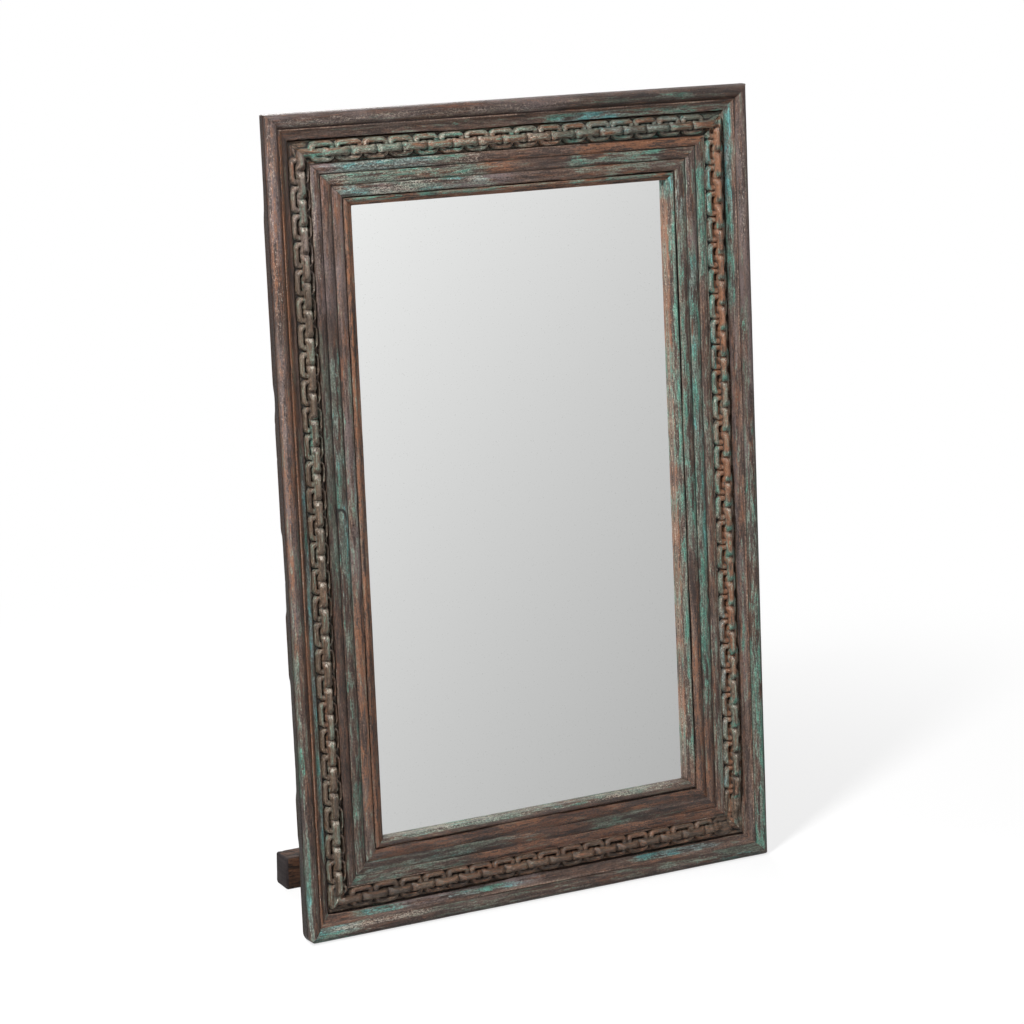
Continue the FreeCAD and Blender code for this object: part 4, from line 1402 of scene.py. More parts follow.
class Shader:
    """Short calls for a node tree. A value is a number, a colour or a socket."""

    def __init__(self, tree: bpy.types.NodeTree) -> None:
        """Keep the tree that nodes are added to."""
        self.tree = tree

    def node(self, kind: str, **settings: object) -> bpy.types.Node:
        """Add a node.

        Args:
            kind: The node's kind, without ShaderNode.
            settings: Its settings.

        Returns:
            The node.
        """
        made = self.tree.nodes.new("ShaderNode" + kind)
        for key, value in settings.items():
            setattr(made, key, value)
        return made

    def fill(self, made: bpy.types.Node, values: dict) -> bpy.types.Node:
        """Link or set a node's inputs.

        Args:
            made: The node.
            values: What goes into its inputs, by name or place.

        Returns:
            The node.
        """
        for key, value in values.items():
            if isinstance(value, Socket):
                self.tree.links.new(value, made.inputs[key])
            else:
                made.inputs[key].default_value = value
        return made

    def filled(self, made: bpy.types.Node, *values: object) -> Socket:
        """First output of a node with its inputs filled in their order."""
        return self.fill(made, dict(enumerate(values))).outputs[0]

    def math(self, operation: str, *values: object) -> Socket:
        """Work out a value from others."""
        return self.filled(self.node("Math", operation=operation), *values)

    def times(self, first: object, second: object) -> Socket:
        """Multiply two values."""
        return self.math("MULTIPLY", first, second)

    def total(self, *terms: tuple[object, float]) -> Socket:
        """Add up values, each times its weight.

        Args:
            terms: The values with their weights.

        Returns:
            The sum.
        """
        made = self.times(*terms[0])
        for value, weight in terms[1:]:
            made = self.math("MULTIPLY_ADD", value, weight, made)
        return made

    def step(self, value: object, low: float, high: float) -> Socket:
        """Smooth step of a value from low to high."""
        return self.filled(self.node("MapRange", interpolation_type="SMOOTHSTEP"), value, low, high)

    def level(self, span: Span, *terms: tuple[object, float]) -> Socket:
        """Smooth step of a weighted sum over a span."""
        return self.step(self.total(*terms), *span)

    def spread(self, value: object, ends: Span, low: float = 0.0, high: float = 1.0) -> Socket:
        """Carry a value from low and high, usually zero and one, to two ends."""
        return self.filled(self.node("MapRange"), value, low, high, *ends)

    def mix(self, share: object, first: object, second: object, blend: str = "MIX") -> Socket:
        """Mix two colours, by the share of the second."""
        made = self.node("Mix", data_type="RGBA", blend_type=blend)
        return self.fill(made, dict(zip(COLOUR_INPUTS, (share, first, second)))).outputs[COLOUR_OUTPUT]

    def vector(self, operation: str, *values: object) -> Socket:
        """Work out a vector from others."""
        return self.filled(self.node("VectorMath", operation=operation), *values)

    def split(self, vector: object) -> Outputs:
        """Three parts of a vector."""
        return self.fill(self.node("SeparateXYZ"), {0: vector}).outputs

    def where(self) -> Socket:
        """Place in the object's own metres."""
        return self.node("TexCoord").outputs["Object"]

    def noise(self, place: object, cells: Sequence[float], detail: float = 3.0, rough: float = 0.55,
              twist: float = 0.0) -> Socket:
        """Noise at a place in metres, with a number of cells a metre along each axis."""
        made = self.fill(self.node("TexNoise"), {
            "Vector": self.vector("MULTIPLY", place, tuple(cells)), "Scale": 1.0, "Detail": detail,
            "Roughness": rough, "Distortion": twist})
        return self.spread(made.outputs[0], (0.0, 1.0), *NOISE_REACH)

    def group(self, tree: bpy.types.NodeTree, **values: object) -> Outputs:
        """Outputs of a placed node group, its inputs given by name."""
        return self.fill(self.node("Group", node_tree=tree), values).outputs


class Surface(Shader):
    """The shader of a material with its one surface."""

    def __init__(self, material: bpy.types.Material) -> None:
        """Clear the material and give it its surface.

        Args:
            material: The material.
        """
        material.use_nodes = True
        material.node_tree.nodes.clear()
        super().__init__(material.node_tree)
        self.surface = self.node("BsdfPrincipled")
        self.fill(self.node("OutputMaterial"), {"Surface": self.surface.outputs[0]})

    def give(self, colour: object, rough: object, **settings: object) -> None:
        """Give the surface its colour and roughness, and other inputs by name."""
        self.fill(self.surface, {"Base Color": colour, "Roughness": rough, **settings})

    def bump(self, height: object, distance: float) -> None:
        """Raise the surface by a pattern, by a distance in metres where that is one."""
        made = self.fill(self.node("Bump"), {"Strength": 1.0, "Distance": distance, "Height": height})
        self.fill(self.surface, {"Normal": made.outputs[0]})


def new_group(name: str, inputs: dict[str, tuple[str, object]],
              outputs: dict[str, str]) -> tuple[Shader, Outputs, bpy.types.Node]:
    """Make an empty shader node group.

    Args:
        name: The group's name.
        inputs: Kind and usual value of each input, by name.
        outputs: Kind of each output, by name.

    Returns:
        The group's shader, the inputs that its nodes read, and its end node.
    """
    tree = bpy.data.node_groups.new(name, "ShaderNodeTree")
    for key, (kind, value) in inputs.items():
        made = tree.interface.new_socket(name=key, in_out="INPUT", socket_type="NodeSocket" + kind)
        if value is not None:
            made.default_value = value
    for key, kind in outputs.items():
        tree.interface.new_socket(name=key, in_out="OUTPUT", socket_type="NodeSocket" + kind)
    return Shader(tree), tree.nodes.new("NodeGroupInput").outputs, tree.nodes.new("NodeGroupOutput")


class Effects:
    """Shader effects that more than one finish uses, each built once.

    Cells are counted a metre, along and across the grain. A level is a smooth step of patterns and
    amounts, each times its weight.
    """

    waver_cells = (3.0, 12.0, 12.0)
    waver_reach = 4.0 * MM
    streak_cells = (9.0, 170.0, 170.0)
    fibre_cells = (38.0, 900.0, 900.0)
    pore_cells = (160.0, 1500.0, 1500.0)
    cloud_cells = (14.0, 14.0, 14.0)
    amounts = {"Teal": 0.0, "Pale": 0.0, "Bare": 0.0, "Crest": 0.0, "Hollow": 0.0, "Seam": 0.0,
               "Blue": 0.0, "Plum": 0.0, "Grime": 0.0, "Streak": 0.5, "Fibre": 0.5, "Wear": 0.5,
               "Dirt": 0.6}
    colours = {"Brown": "5e4537", "Dark Brown": "2a1c16", "Rust": "774b33", "Wax": "6a5f5a",
               "Plum Wax": "7f7072", "Film": "455a50", "Pale Film": "7c8f83", "Blue Film": "465a5c",
               "Pale Blue Film": "8a9e9d", "Deep Teal": "275147", "Bright Teal": "5e9683",
               "Deep Cyan": "27626a", "Bright Cyan": "6fb0ad", "Chalk": "b3aa9c", "Rubbed": "8f7160",
               "Wood": "8c5c3c"}
    glaze, dark_glaze, dirt_and_shade = "a89b93", "75665d", "120c0a"

    def __init__(self) -> None:
        """Build the groups."""
        self.grain = self.wood_grain()
        self.layers = self.worn_coats()
        self.dust = self.lying_dust()

    def wood_grain(self) -> bpy.types.NodeTree:
        """Run wood grain along the first axis of a place in metres.

        Returns:
            The group.
        """
        inputs = {"Place": ("Vector", None), "Wavering": ("Float", 1.0)}
        outputs = dict.fromkeys(("Streak", "Fibre", "Pore"), "Float")
        s, source, end = new_group("Wood Grain", inputs, outputs)
        waver = s.noise(source["Place"], self.waver_cells, 1.0)
        bend = s.times(s.times(waver, source["Wavering"]), self.waver_reach)
        place = s.vector("ADD", source["Place"], s.filled(s.node("CombineXYZ"), 0.0, bend, bend))
        s.fill(end, {"Streak": s.noise(place, self.streak_cells, 4.0, 0.6),
                     "Fibre": s.noise(place, self.fibre_cells, 3.0, 0.6),
                     "Pore": s.step(s.noise(place, self.pore_cells, 1.0), 0.66, 0.80)})
        return s.tree

    def worn_coats(self) -> bpy.types.NodeTree:
        """Lay the worn coats of paint, with grime, dirt and painted shade: where each of them shows, and
        their colour.

        Returns:
            The group.
        """
        inputs: dict[str, tuple[str, object]] = {"Place": ("Vector", None)}
        inputs |= {key: ("Float", value) for key, value in self.amounts.items()}
        inputs |= {key: ("Color", linear(value)) for key, value in self.colours.items()}
        s, source, end = new_group("Worn Coats", inputs,
                                   {"Color": "Color", "Height": "Float", "Roughness": "Float"})
        place, streak, fibre = source["Place"], source["Streak"], source["Fibre"]
        broad = s.noise(place, (6.0, 70.0, 70.0), 3.0, 0.6, 0.4)
        flake = s.noise(place, (24.0, 150.0, 150.0), 5.0, 0.62, 0.7)
        fine = s.noise(place, (48.0, 520.0, 520.0), 3.0, 0.6)
        speck = s.noise(place, (240.0, 480.0, 480.0), 3.0, 0.65)
        grit = s.noise(place, (520.0, 900.0, 900.0), 2.0, 0.6)
        blue = s.level((0.45, 0.80), (source["Blue"], 0.70), (flake, 0.30), (fine, 0.20))

        # The ground: brown paint, rusty in clouds, under rubbed wax
        ground = s.level((0.34, 0.60), (streak, 0.35), (fine, 0.25), (speck, 0.20), (flake, 0.20))
        ground = s.mix(ground, source["Dark Brown"], source["Brown"])
        rust = s.level((0.54, 0.72), (broad, 0.4), (fine, 0.3), (flake, 0.3))
        ground = s.mix(s.times(rust, 0.7), ground, source["Rust"])
        wax = s.level((0.20, 0.50), (broad, -0.45), (speck, 0.32), (fibre, 0.25), (streak, 0.4),
                      (source["Plum"], 0.30))
        waxed = s.mix(source["Plum"], source["Wax"], source["Plum Wax"])
        colour = s.mix(s.times(wax, s.spread(source["Plum"], (0.45, 0.80))), ground, waxed)
        bare = s.level((0.60, 0.74), (source["Bare"], 0.34), (streak, 0.40), (fine, 0.35), (speck, 0.25))
        colour = s.mix(s.times(bare, 0.75), colour, s.mix(fine, source["Rust"], source["Wood"]))

        # A thin film of old green or blue, and the full coat of teal or cyan
        film = s.level((0.61, 0.74), (source["Teal"], 0.30), (source["Blue"], 0.16), (streak, 0.42),
                       (flake, 0.33), (fine, 0.25))
        light = s.level((0.35, 0.75), (speck, 0.55), (fine, 0.45))
        film_colour = s.mix(blue, s.mix(light, source["Film"], source["Pale Film"]),
                            s.mix(light, source["Blue Film"], source["Pale Blue Film"]))
        colour = s.mix(s.times(film, s.spread(speck, (0.45, 0.90), 0.1, 0.8)), colour, film_colour)
        teal = s.level((0.79, 0.85), (source["Teal"], 0.32), (flake, 0.55), (speck, 0.25), (fibre, 0.20))
        light = s.level((0.32, 0.75), (fine, 0.5), (grit, 0.5))
        teal_colour = s.mix(blue, s.mix(light, source["Deep Teal"], source["Bright Teal"]),
                            s.mix(light, source["Deep Cyan"], source["Bright Cyan"]))
        colour = s.mix(s.times(teal, 0.88), colour, teal_colour)

        # Crests rubbed brown, chalky places, grime and painted shade over patches, deeper painted shade
        # on the frame's outer sides, and dirt with painted shade in the hollows
        rubbed = s.level((0.52, 0.92), (source["Crest"], 0.5), (streak, 0.3), (speck, 0.35))
        colour = s.mix(s.times(rubbed, 0.6), colour, source["Rubbed"])
        pale = s.level((0.80, 0.98), (source["Crest"], 0.20), (source["Pale"], 0.36),
                       (source["Wear"], 0.20), (fibre, 0.26), (speck, 0.38), (grit, 0.30))
        colour = s.mix(s.times(pale, 0.72), colour, source["Chalk"])
        # grime and painted shade darken the places that the grime coat covers
        glazed = s.level((0.22, 1.0), (source["Grime"], 0.80), (flake, 0.30), (streak, 0.20))
        # past one, a deeper painted shade, for the outer sides and the darkest grime patches
        glaze = s.mix(s.step(source["Grime"], 1.0, 1.5), linear(self.glaze), linear(self.dark_glaze))
        colour = s.mix(glazed, colour, s.mix(1.0, colour, glaze, "MULTIPLY"))
        # hollows darkened with dirt and painted shade, and joints with dirt
        dirt_and_shade_share = s.times(source["Hollow"], source["Dirt"])
        dark = s.level((0.32, 1.0), (dirt_and_shade_share, 1.0), (source["Seam"], 0.6), (flake, 0.30), (grit, 0.12))
        colour = s.mix(s.times(dark, 0.95), colour, linear(self.dirt_and_shade))

        mottle = s.spread(s.total((grit, 0.40), (speck, 0.35), (flake, 0.25)), (0.62, 1.36), 0.22, 0.78)
        mottled = s.fill(s.node("VectorMath", operation="SCALE"), {0: colour, "Scale": mottle})
        height = s.total((teal, 0.25), (film, 0.12), (fibre, 0.25), (speck, 0.50), (grit, 0.50),
                         (fine, 0.40))
        rough = s.math("ADD", s.total((speck, 0.22), (film, 0.06), (dark, 0.40), (grit, 0.12)), 0.22)
        s.fill(end, {"Color": mottled.outputs[0], "Height": height, "Roughness": rough})
        return s.tree

    def lying_dust(self) -> bpy.types.NodeTree:
        """Lay pale dust, thicker in clouds.

        Returns:
            The group.
        """
        inputs = {"Color": ("Color", linear("808080")), "Place": ("Vector", None),
                  "Amount": ("Float", 0.3), "Dust": ("Color", linear("8f877c"))}
        s, source, end = new_group("Dust", inputs, {"Color": "Color"})
        cloud = s.noise(source["Place"], self.cloud_cells, 4.0, 0.65)
        share = s.times(s.step(cloud, 0.3, 0.9), source["Amount"])
        s.fill(end, {"Color": s.mix(share, source["Color"], source["Dust"])})
        return s.tree


@dataclass(frozen=True)
class PaintLook:
    """What differs among the painted boards."""

    colours: dict[str, str] = field(default_factory=dict)
    wear: float = 0.5
    dirt_and_shade: float = 0.6
    relief: float = 0.65 * MM
    specular: float = 0.6


@dataclass(frozen=True)
class TimberLook:
    """Colours and surface of an unpainted timber."""

    light: str
    dark: str
    grain_way: GrainWay
    dust: float = 0.25
    relief: float = 0.3 * MM
    pits: float = 0.0
    rough: float = 0.75
    saw_marks: float = 0.0


@dataclass(frozen=True)
class MetalLook:
    """Colours of a metal part."""

    bright: str
    dull: str
    rust: str
    rust_share: float
    rough: float


@dataclass(frozen=True)
class MarkedLook:
    """Two tones of a plain coat or ground edge, and the marks that a tool left in it."""

    dark: str
    light: str
    cells: Triple
    detail: float
    rough: Span


@dataclass
class Finish:
    """A finish that makes its material once and hands it to every piece that wears it."""

    name: str
    effects: Effects
    look: PaintLook | TimberLook | MetalLook | MarkedLook | None = None
    made: bpy.types.Material | None = None

    def material(self) -> bpy.types.Material:
        """Make the finish's material at its first use.

        Returns:
            The material.
        """
        if self.made is None:
            self.made = bpy.data.materials.new(self.name)
            self.dress(Surface(self.made))
        return self.made

    def dress(self, s: Surface) -> None:
        """Link or set the surface's values."""
        raise NotImplementedError


class PaintedWood(Finish):
    """Carved wood under worn coats of paint, rubbed with wax."""

    def dress(self, s: Surface) -> None:
        """Lay the coats over the grain and read where they wear from the board.

        Args:
            s: The material's shader.
        """
        read = {key: s.node("Attribute", attribute_name=key).outputs["Vector"]
                for key in ("place", "shape", "coats", "films")}
        place = read["place"]
        shape, coats, films = (s.split(read[key]) for key in ("shape", "coats", "films"))
        grain = s.group(self.effects.grain, Place=place)
        coloured = {key: linear(value) for key, value in self.look.colours.items()}
        layers = s.group(self.effects.layers, Place=place, Teal=coats[0], Pale=coats[1], Bare=coats[2],
                         Blue=films[0], Plum=films[1], Grime=films[2],
                         Crest=shape[0], Hollow=shape[1], Seam=shape[2],
                         Streak=grain["Streak"], Fibre=grain["Fibre"],
                         Wear=self.look.wear, Dirt=self.look.dirt_and_shade, **coloured)
        s.give(layers["Color"], layers["Roughness"], **{"Specular IOR Level": self.look.specular})
        s.bump(s.total((layers["Height"], 1.0), (grain["Pore"], -0.5)), self.look.relief)


class BareTimber(Finish):
    """Unpainted timber with grain, pits and dust."""

    wavering = 2.5
    blot_cells = (6.0, 16.0, 16.0)
    pit_cells = (70.0, 190.0, 190.0)
    pit_colour = "15100d"
    saw_settings = {"Scale": 95.0, "Distortion": 3.0, "Detail": 2.0, "Detail Scale": 0.6}
    rough_less, rough_more = 0.08, 0.1
    specular = 0.15

    def dress(self, s: Surface) -> None:
        """Run the grain along the timber, then pit, saw and dust it.

        Args:
            s: The material's shader.
        """
        look, parts = self.look, s.split(s.where())
        way = look.grain_way.value
        place = s.filled(s.node("CombineXYZ"), parts[way], *(parts[k] for k in range(3) if k != way))
        grain = s.group(self.effects.grain, Place=place, Wavering=self.wavering)
        streak, fibre = grain["Streak"], grain["Fibre"]
        light, dark = linear(look.light), linear(look.dark)
        colour = s.mix(s.level((0.2, 0.85), (streak, 0.6), (fibre, 0.4)), dark, light)
        blot = s.step(s.noise(place, self.blot_cells), 0.5, 0.95)
        colour = s.mix(s.times(blot, 0.5), colour, dark)
        pit = s.step(s.noise(place, self.pit_cells, 3.0, 0.6), 0.70 - 0.1 * look.pits, 0.86)
        pit = s.times(pit, look.pits)
        colour = s.mix(s.times(pit, 0.85), colour, linear(self.pit_colour))
        dusted = s.group(self.effects.dust, Color=colour, Place=place, Amount=look.dust)
        saw = s.node("TexWave", wave_type="BANDS", bands_direction="X")
        saw = s.fill(saw, {"Vector": place, **self.saw_settings}).outputs["Fac"]
        rough = s.spread(fibre, (look.rough - self.rough_less, look.rough + self.rough_more))
        s.give(dusted[0], rough, **{"Specular IOR Level": self.specular})
        s.bump(s.total((fibre, 0.6), (streak, 0.4), (pit, -2.5), (saw, look.saw_marks)), look.relief)


class OldMetal(Finish):
    """Metal with a dull skin, rubbed bright in places and rusted in others."""

    patch_cells = (120.0, 120.0, 120.0)
    grit_cells = (700.0, 700.0, 700.0)
    rusty_metallic = 0.1
    relief = 0.08 * MM

    def dress(self, s: Surface) -> None:
        """Mix bright, dull and rusty places.

        Args:
            s: The material's shader.
        """
        look, where = self.look, s.where()
        patch = s.noise(where, self.patch_cells, 4.0, 0.6)
        grit = s.noise(where, self.grit_cells, 3.0, 0.6)
        colour = s.mix(s.step(patch, 0.35, 0.7), linear(look.dull), linear(look.bright))
        rust = s.level((0.25 - look.rust_share, 0.45 - look.rust_share), (patch, -0.5), (grit, 0.5))
        rough = s.math("ADD", s.total((grit, 0.18), (rust, 0.35)), look.rough)
        s.give(s.mix(rust, colour, linear(look.rust)), rough,
               Metallic=s.spread(rust, (1.0, self.rusty_metallic)))
        s.bump(s.total((grit, 0.7), (rust, 0.6)), self.relief)


class Silvering(Finish):
    """The mirror's bright face."""

    haze_cells = (9.0, 9.0, 9.0)
    speck_cells = (420.0, 420.0, 420.0)
    bright, speckled = "f8f9f8", "c9cac6"

    def dress(self, s: Surface) -> None:
        """Reflect nearly all, with a breath of haze and faint specks.

        Args:
            s: The material's shader.
        """
        where = s.where()
        speck = s.step(s.noise(where, self.speck_cells, 1.0), 0.90, 0.99)
        colour = s.mix(s.times(speck, 0.25), linear(self.bright), linear(self.speckled))
        rough = s.spread(s.noise(where, self.haze_cells), (0.0, 0.012), 0.2, 0.9)
        s.give(colour, rough, Metallic=1.0)


class MarkedCoat(Finish):
    """A plain coat, or a ground edge, with the marks of its tool."""

    def dress(self, s: Surface) -> None:
        """Mark the coat in two tones.

        Args:
            s: The material's shader.
        """
        look = self.look
        marks = s.noise(s.where(), look.cells, look.detail)
        s.give(s.mix(marks, linear(look.dark), linear(look.light)), s.spread(marks, look.rough))


@dataclass
class MirrorPane:
    """The mirror glass with a narrow ground edge."""

    layout: FrameLayout
    name: str = "mirror_pane"
    opening: float = 0.150
    front: float = 0.039
    thickness: float = 0.005
    grind: float = 0.8 * MM

    def build(self, silver: Finish, edge: Finish, back: Finish) -> Piece:
        """Make the pane.

        Args:
            silver: Finish of the face.
            edge: Finish of the edges.
            back: Finish of the back.

        Returns:
            The new piece.
        """
        w, h = self.layout.width, self.layout.height
        start, stop = self.front, self.front + self.thickness
        work = bmesh.new()
        rows = []
        for depth, inset in ((start, self.grind), (start + self.grind, 0.0), (stop - self.grind, 0.0),
                             (stop, self.grind)):
            i = self.opening + inset
            ring = np.array([[i, depth, i], [w - i, depth, i], [w - i, depth, h - i], [i, depth, h - i]])
            rows.append([work.verts.new(p) for p in self.layout.leaned(ring)])
        work.faces.new(rows[0])
        work.faces.new(rows[-1][::-1]).material_index = 2
        for near, far in zip(rows, rows[1:]):
            for k in range(4):
                made = work.faces.new([near[k], far[k], far[(k + 1) % 4], near[(k + 1) % 4]])
                made.material_index = 1
        bmesh.ops.recalc_face_normals(work, faces=work.faces)
        mesh = bpy.data.meshes.new(self.name)
        work.to_mesh(mesh)
        work.free()
        for finish in (silver, edge, back):
            mesh.materials.append(finish.material())
        return linked(bpy.data.objects.new(self.name, mesh))


@dataclass
class HewnBar:
    """Rough bar cut with an adze: edges rounded, faces dished and pitted.

    Ends holds how far in from an end its rows of points lie, and insets how far they are drawn in,
    both in shares of the edges' rounding.
    """

    name: str
    low: Vector
    high: Vector
    step: float = 4.0 * MM
    edge_round: float = 4.0 * MM
    ends: Span = (0.0, 0.3)
    insets: Span = (1.0, 0.35)
    dish: float = 1.2 * MM
    dish_cell: Span = (0.045, 0.02)
    pit: float = 1.6 * MM
    pit_cell: Span = (0.012, 0.008)
    pit_level: Span = (0.35, 0.8)
    flat_foot: float = 2.0 * MM
    sharp: float = math.radians(60)
    seed: int = 5

    def outline(self) -> Outline:
        """Draw the bar's section with its rounded edges.

        Returns:
            The closed outline.
        """
        r, y, z = self.edge_round, *(self.high - self.low)[1:]
        bulge = r * (1 - math.sqrt(0.5))
        made = Outline((0.0, r), self.step)
        made.line((0.0, z - r)).arc((bulge, z - bulge), (r, z)).line((y - r, z))
        made.arc((y - bulge, z - bulge), (y, z - r)).line((y, r))
        made.arc((y - bulge, bulge), (y - r, 0.0)).line((r, 0.0)).arc((bulge, bulge), (0.0, r))
        return made

    def build(self, finish: Finish, end_finish: Finish) -> Piece:
        """Make the bar between its two corners, along its x axis.

        Args:
            finish: Finish of its long faces.
            end_finish: Finish of its two ends.

        Returns:
            The new piece.
        """
        size, r = self.high - self.low, self.edge_round
        section, _ = self.outline().closed()
        ends, insets = np.array(self.ends) * r, np.array(self.insets) * r
        inner = np.linspace(r, size.x - r, round(size.x / self.step))
        along = np.concatenate([ends, inner, size.x - ends[::-1]])
        inset = np.concatenate([insets, np.zeros(len(inner)), insets[::-1]])
        middle = np.array([size.y / 2, size.z / 2])
        ring = middle + (section[None] - middle) * (1 - inset[:, None, None] / middle)
        x = np.broadcast_to(along[:, None], ring.shape[:2])
        points = np.stack([x, ring[..., 0], ring[..., 1]], axis=-1)
        way = ring - middle
        way = way / np.linalg.norm(way, axis=-1, keepdims=True)
        turn = np.broadcast_to(np.arange(len(section)) * self.step, x.shape)
        dish = field_noise(x / self.dish_cell[0], turn / self.dish_cell[1], self.seed) - 1
        pits = field_noise(x / self.pit_cell[0], turn / self.pit_cell[1], self.seed + 1)
        off = self.dish * dish / 2 - self.pit * ease(pits, *self.pit_level)
        points[..., 1:] += way * off[..., None]
        points[..., 2] = np.where(ring[..., 1] < self.flat_foot, ring[..., 1], points[..., 2])
        piece = SkinMesh(self.name, self.sharp).build(points + np.array(self.low), {})
        piece.data.materials.append(finish.material())
        piece.data.materials.append(end_finish.material())
        end_faces, skin = len(ends) * len(section), (len(along) - 1) * len(section)
        for face in piece.data.polygons:
            face.material_index = int(face.index < end_faces or face.index >= skin - end_faces)
        return piece


@dataclass(frozen=True)
class Lamp:
    """A soft round lamp: where it hangs, what it points at, its width and its power in watts."""

    name: str
    place: Triple
    target: Triple
    size: float
    power: float
    gleam: bool = True

    def hang(self) -> None:
        """Hang the lamp. Glossy things show it only if it gleams."""
        data = bpy.data.lights.new(self.name, "AREA")
        data.shape = "DISK"
        data.size = self.size
        data.energy = self.power
        made = linked(bpy.data.objects.new(self.name, data))
        made.location = self.place
        made.rotation_mode = "QUATERNION"
        made.rotation_quaternion = (Vector(self.target) - Vector(self.place)).to_track_quat("-Z", "Y")
        made.visible_glossy = self.gleam


@dataclass
class Studio:
    """Pale floor, soft lamps, surroundings and the camera.

    The surroundings that glossy things show are grey, by their direction: slope is the change of
    tone along x and z, level the tone at the middle, and tones the range that it is held in.
    """

    floor_half: float = 30.0
    floor_colour: tuple[float, ...] = (0.86, 0.86, 0.86, 1.0)
    camera_place: Triple = (-2.5864, -4.7610, 2.0665)
    camera_turn: float = math.radians(28.606)
    camera_drop: float = math.radians(14.361)
    focal_pixels: float = 3152.0
    picture_pixels: float = 1024.0
    sensor: float = 36.0
    shadow_share: float = 0.25
    shadow_reach: Span = (0.6, 2.2)
    ambient: float = 0.15
    slope: Span = (-1.123, 0.816)
    tone: float = 1.423
    tones: Span = (0.55, 0.97)
    tone_power: float = 2.2
    lamps: tuple[Lamp, ...] = (
        Lamp("key_lamp", (-2.7, -1.8, 3.9), (0.0, 0.0, 0.8), 0.7, 300.0),
        Lamp("fill_lamp", (2.6, -3.4, 1.6), (0.0, 0.0, 0.7), 2.4, 14.0, False),
        Lamp("back_lamp", (0.6, 3.2, 2.6), (0.0, 0.2, 0.6), 2.0, 90.0))

    def build(self) -> None:
        """Make everything round the object."""
        self.stand_camera()
        self.lay_floor()
        self.surround()
        for lamp in self.lamps:
            lamp.hang()

    def stand_camera(self) -> None:
        """Stand the camera where the photograph was taken from."""
        lens = bpy.data.cameras.new("camera")
        lens.sensor_width = self.sensor
        lens.lens = self.focal_pixels / self.picture_pixels * self.sensor
        made = linked(bpy.data.objects.new("camera", lens))
        made.location = self.camera_place
        made.rotation_euler = (math.pi / 2 - self.camera_drop, 0.0, -self.camera_turn)
        bpy.context.scene.camera = made

    def lay_floor(self) -> None:
        """Lay a white floor that keeps a soft shadow, and that glossy things don't see."""
        half = self.floor_half
        mesh = bpy.data.meshes.new("floor")
        mesh.from_pydata([(-half, -half, 0), (half, -half, 0), (half, half, 0), (-half, half, 0)], [],
                         [(0, 1, 2, 3)])
        made = linked(bpy.data.objects.new("floor", mesh))
        made.visible_glossy = False
        material = bpy.data.materials.new("floor_white")
        material.use_nodes = True
        material.node_tree.nodes.clear()
        s = Shader(material.node_tree)
        matt = s.filled(s.node("BsdfDiffuse"), self.floor_colour)
        far = s.fill(s.node("VectorMath", operation="LENGTH"), {0: s.where()}).outputs["Value"]
        plain = s.spread(s.step(far, *self.shadow_reach), (1 - self.shadow_share, 1.0))
        seen = s.times(s.node("LightPath").outputs["Is Camera Ray"], plain)
        shown = s.filled(s.node("MixShader"), seen, matt, s.node("Emission").outputs[0])
        s.fill(s.node("OutputMaterial"), {0: shown})
        mesh.materials.append(material)

    def surround(self) -> None:
        """Show white to the camera and soft grey to the mirror, and light all else plainly."""
        world = bpy.data.worlds.new("studio")
        bpy.context.scene.world = world
        world.use_nodes = True
        world.node_tree.nodes.clear()
        s = Shader(world.node_tree)
        ray = s.node("LightPath").outputs
        way = s.split(s.node("TexCoord").outputs["Generated"])
        tone = s.math("ADD", s.total((way[0], self.slope[0]), (way[2], self.slope[1])), self.tone)
        tone = s.math("POWER", s.spread(tone, self.tones, *self.tones), self.tone_power)
        grey = s.filled(s.node("CombineColor"), tone, tone, tone)
        light = s.mix(ray["Is Glossy Ray"], (self.ambient,) * 3 + (1.0,), grey)
        light = s.mix(ray["Is Camera Ray"], light, (1.0, 1.0, 1.0, 1.0))
        s.fill(s.node("OutputWorld"), {0: s.filled(s.node("Background"), light)})


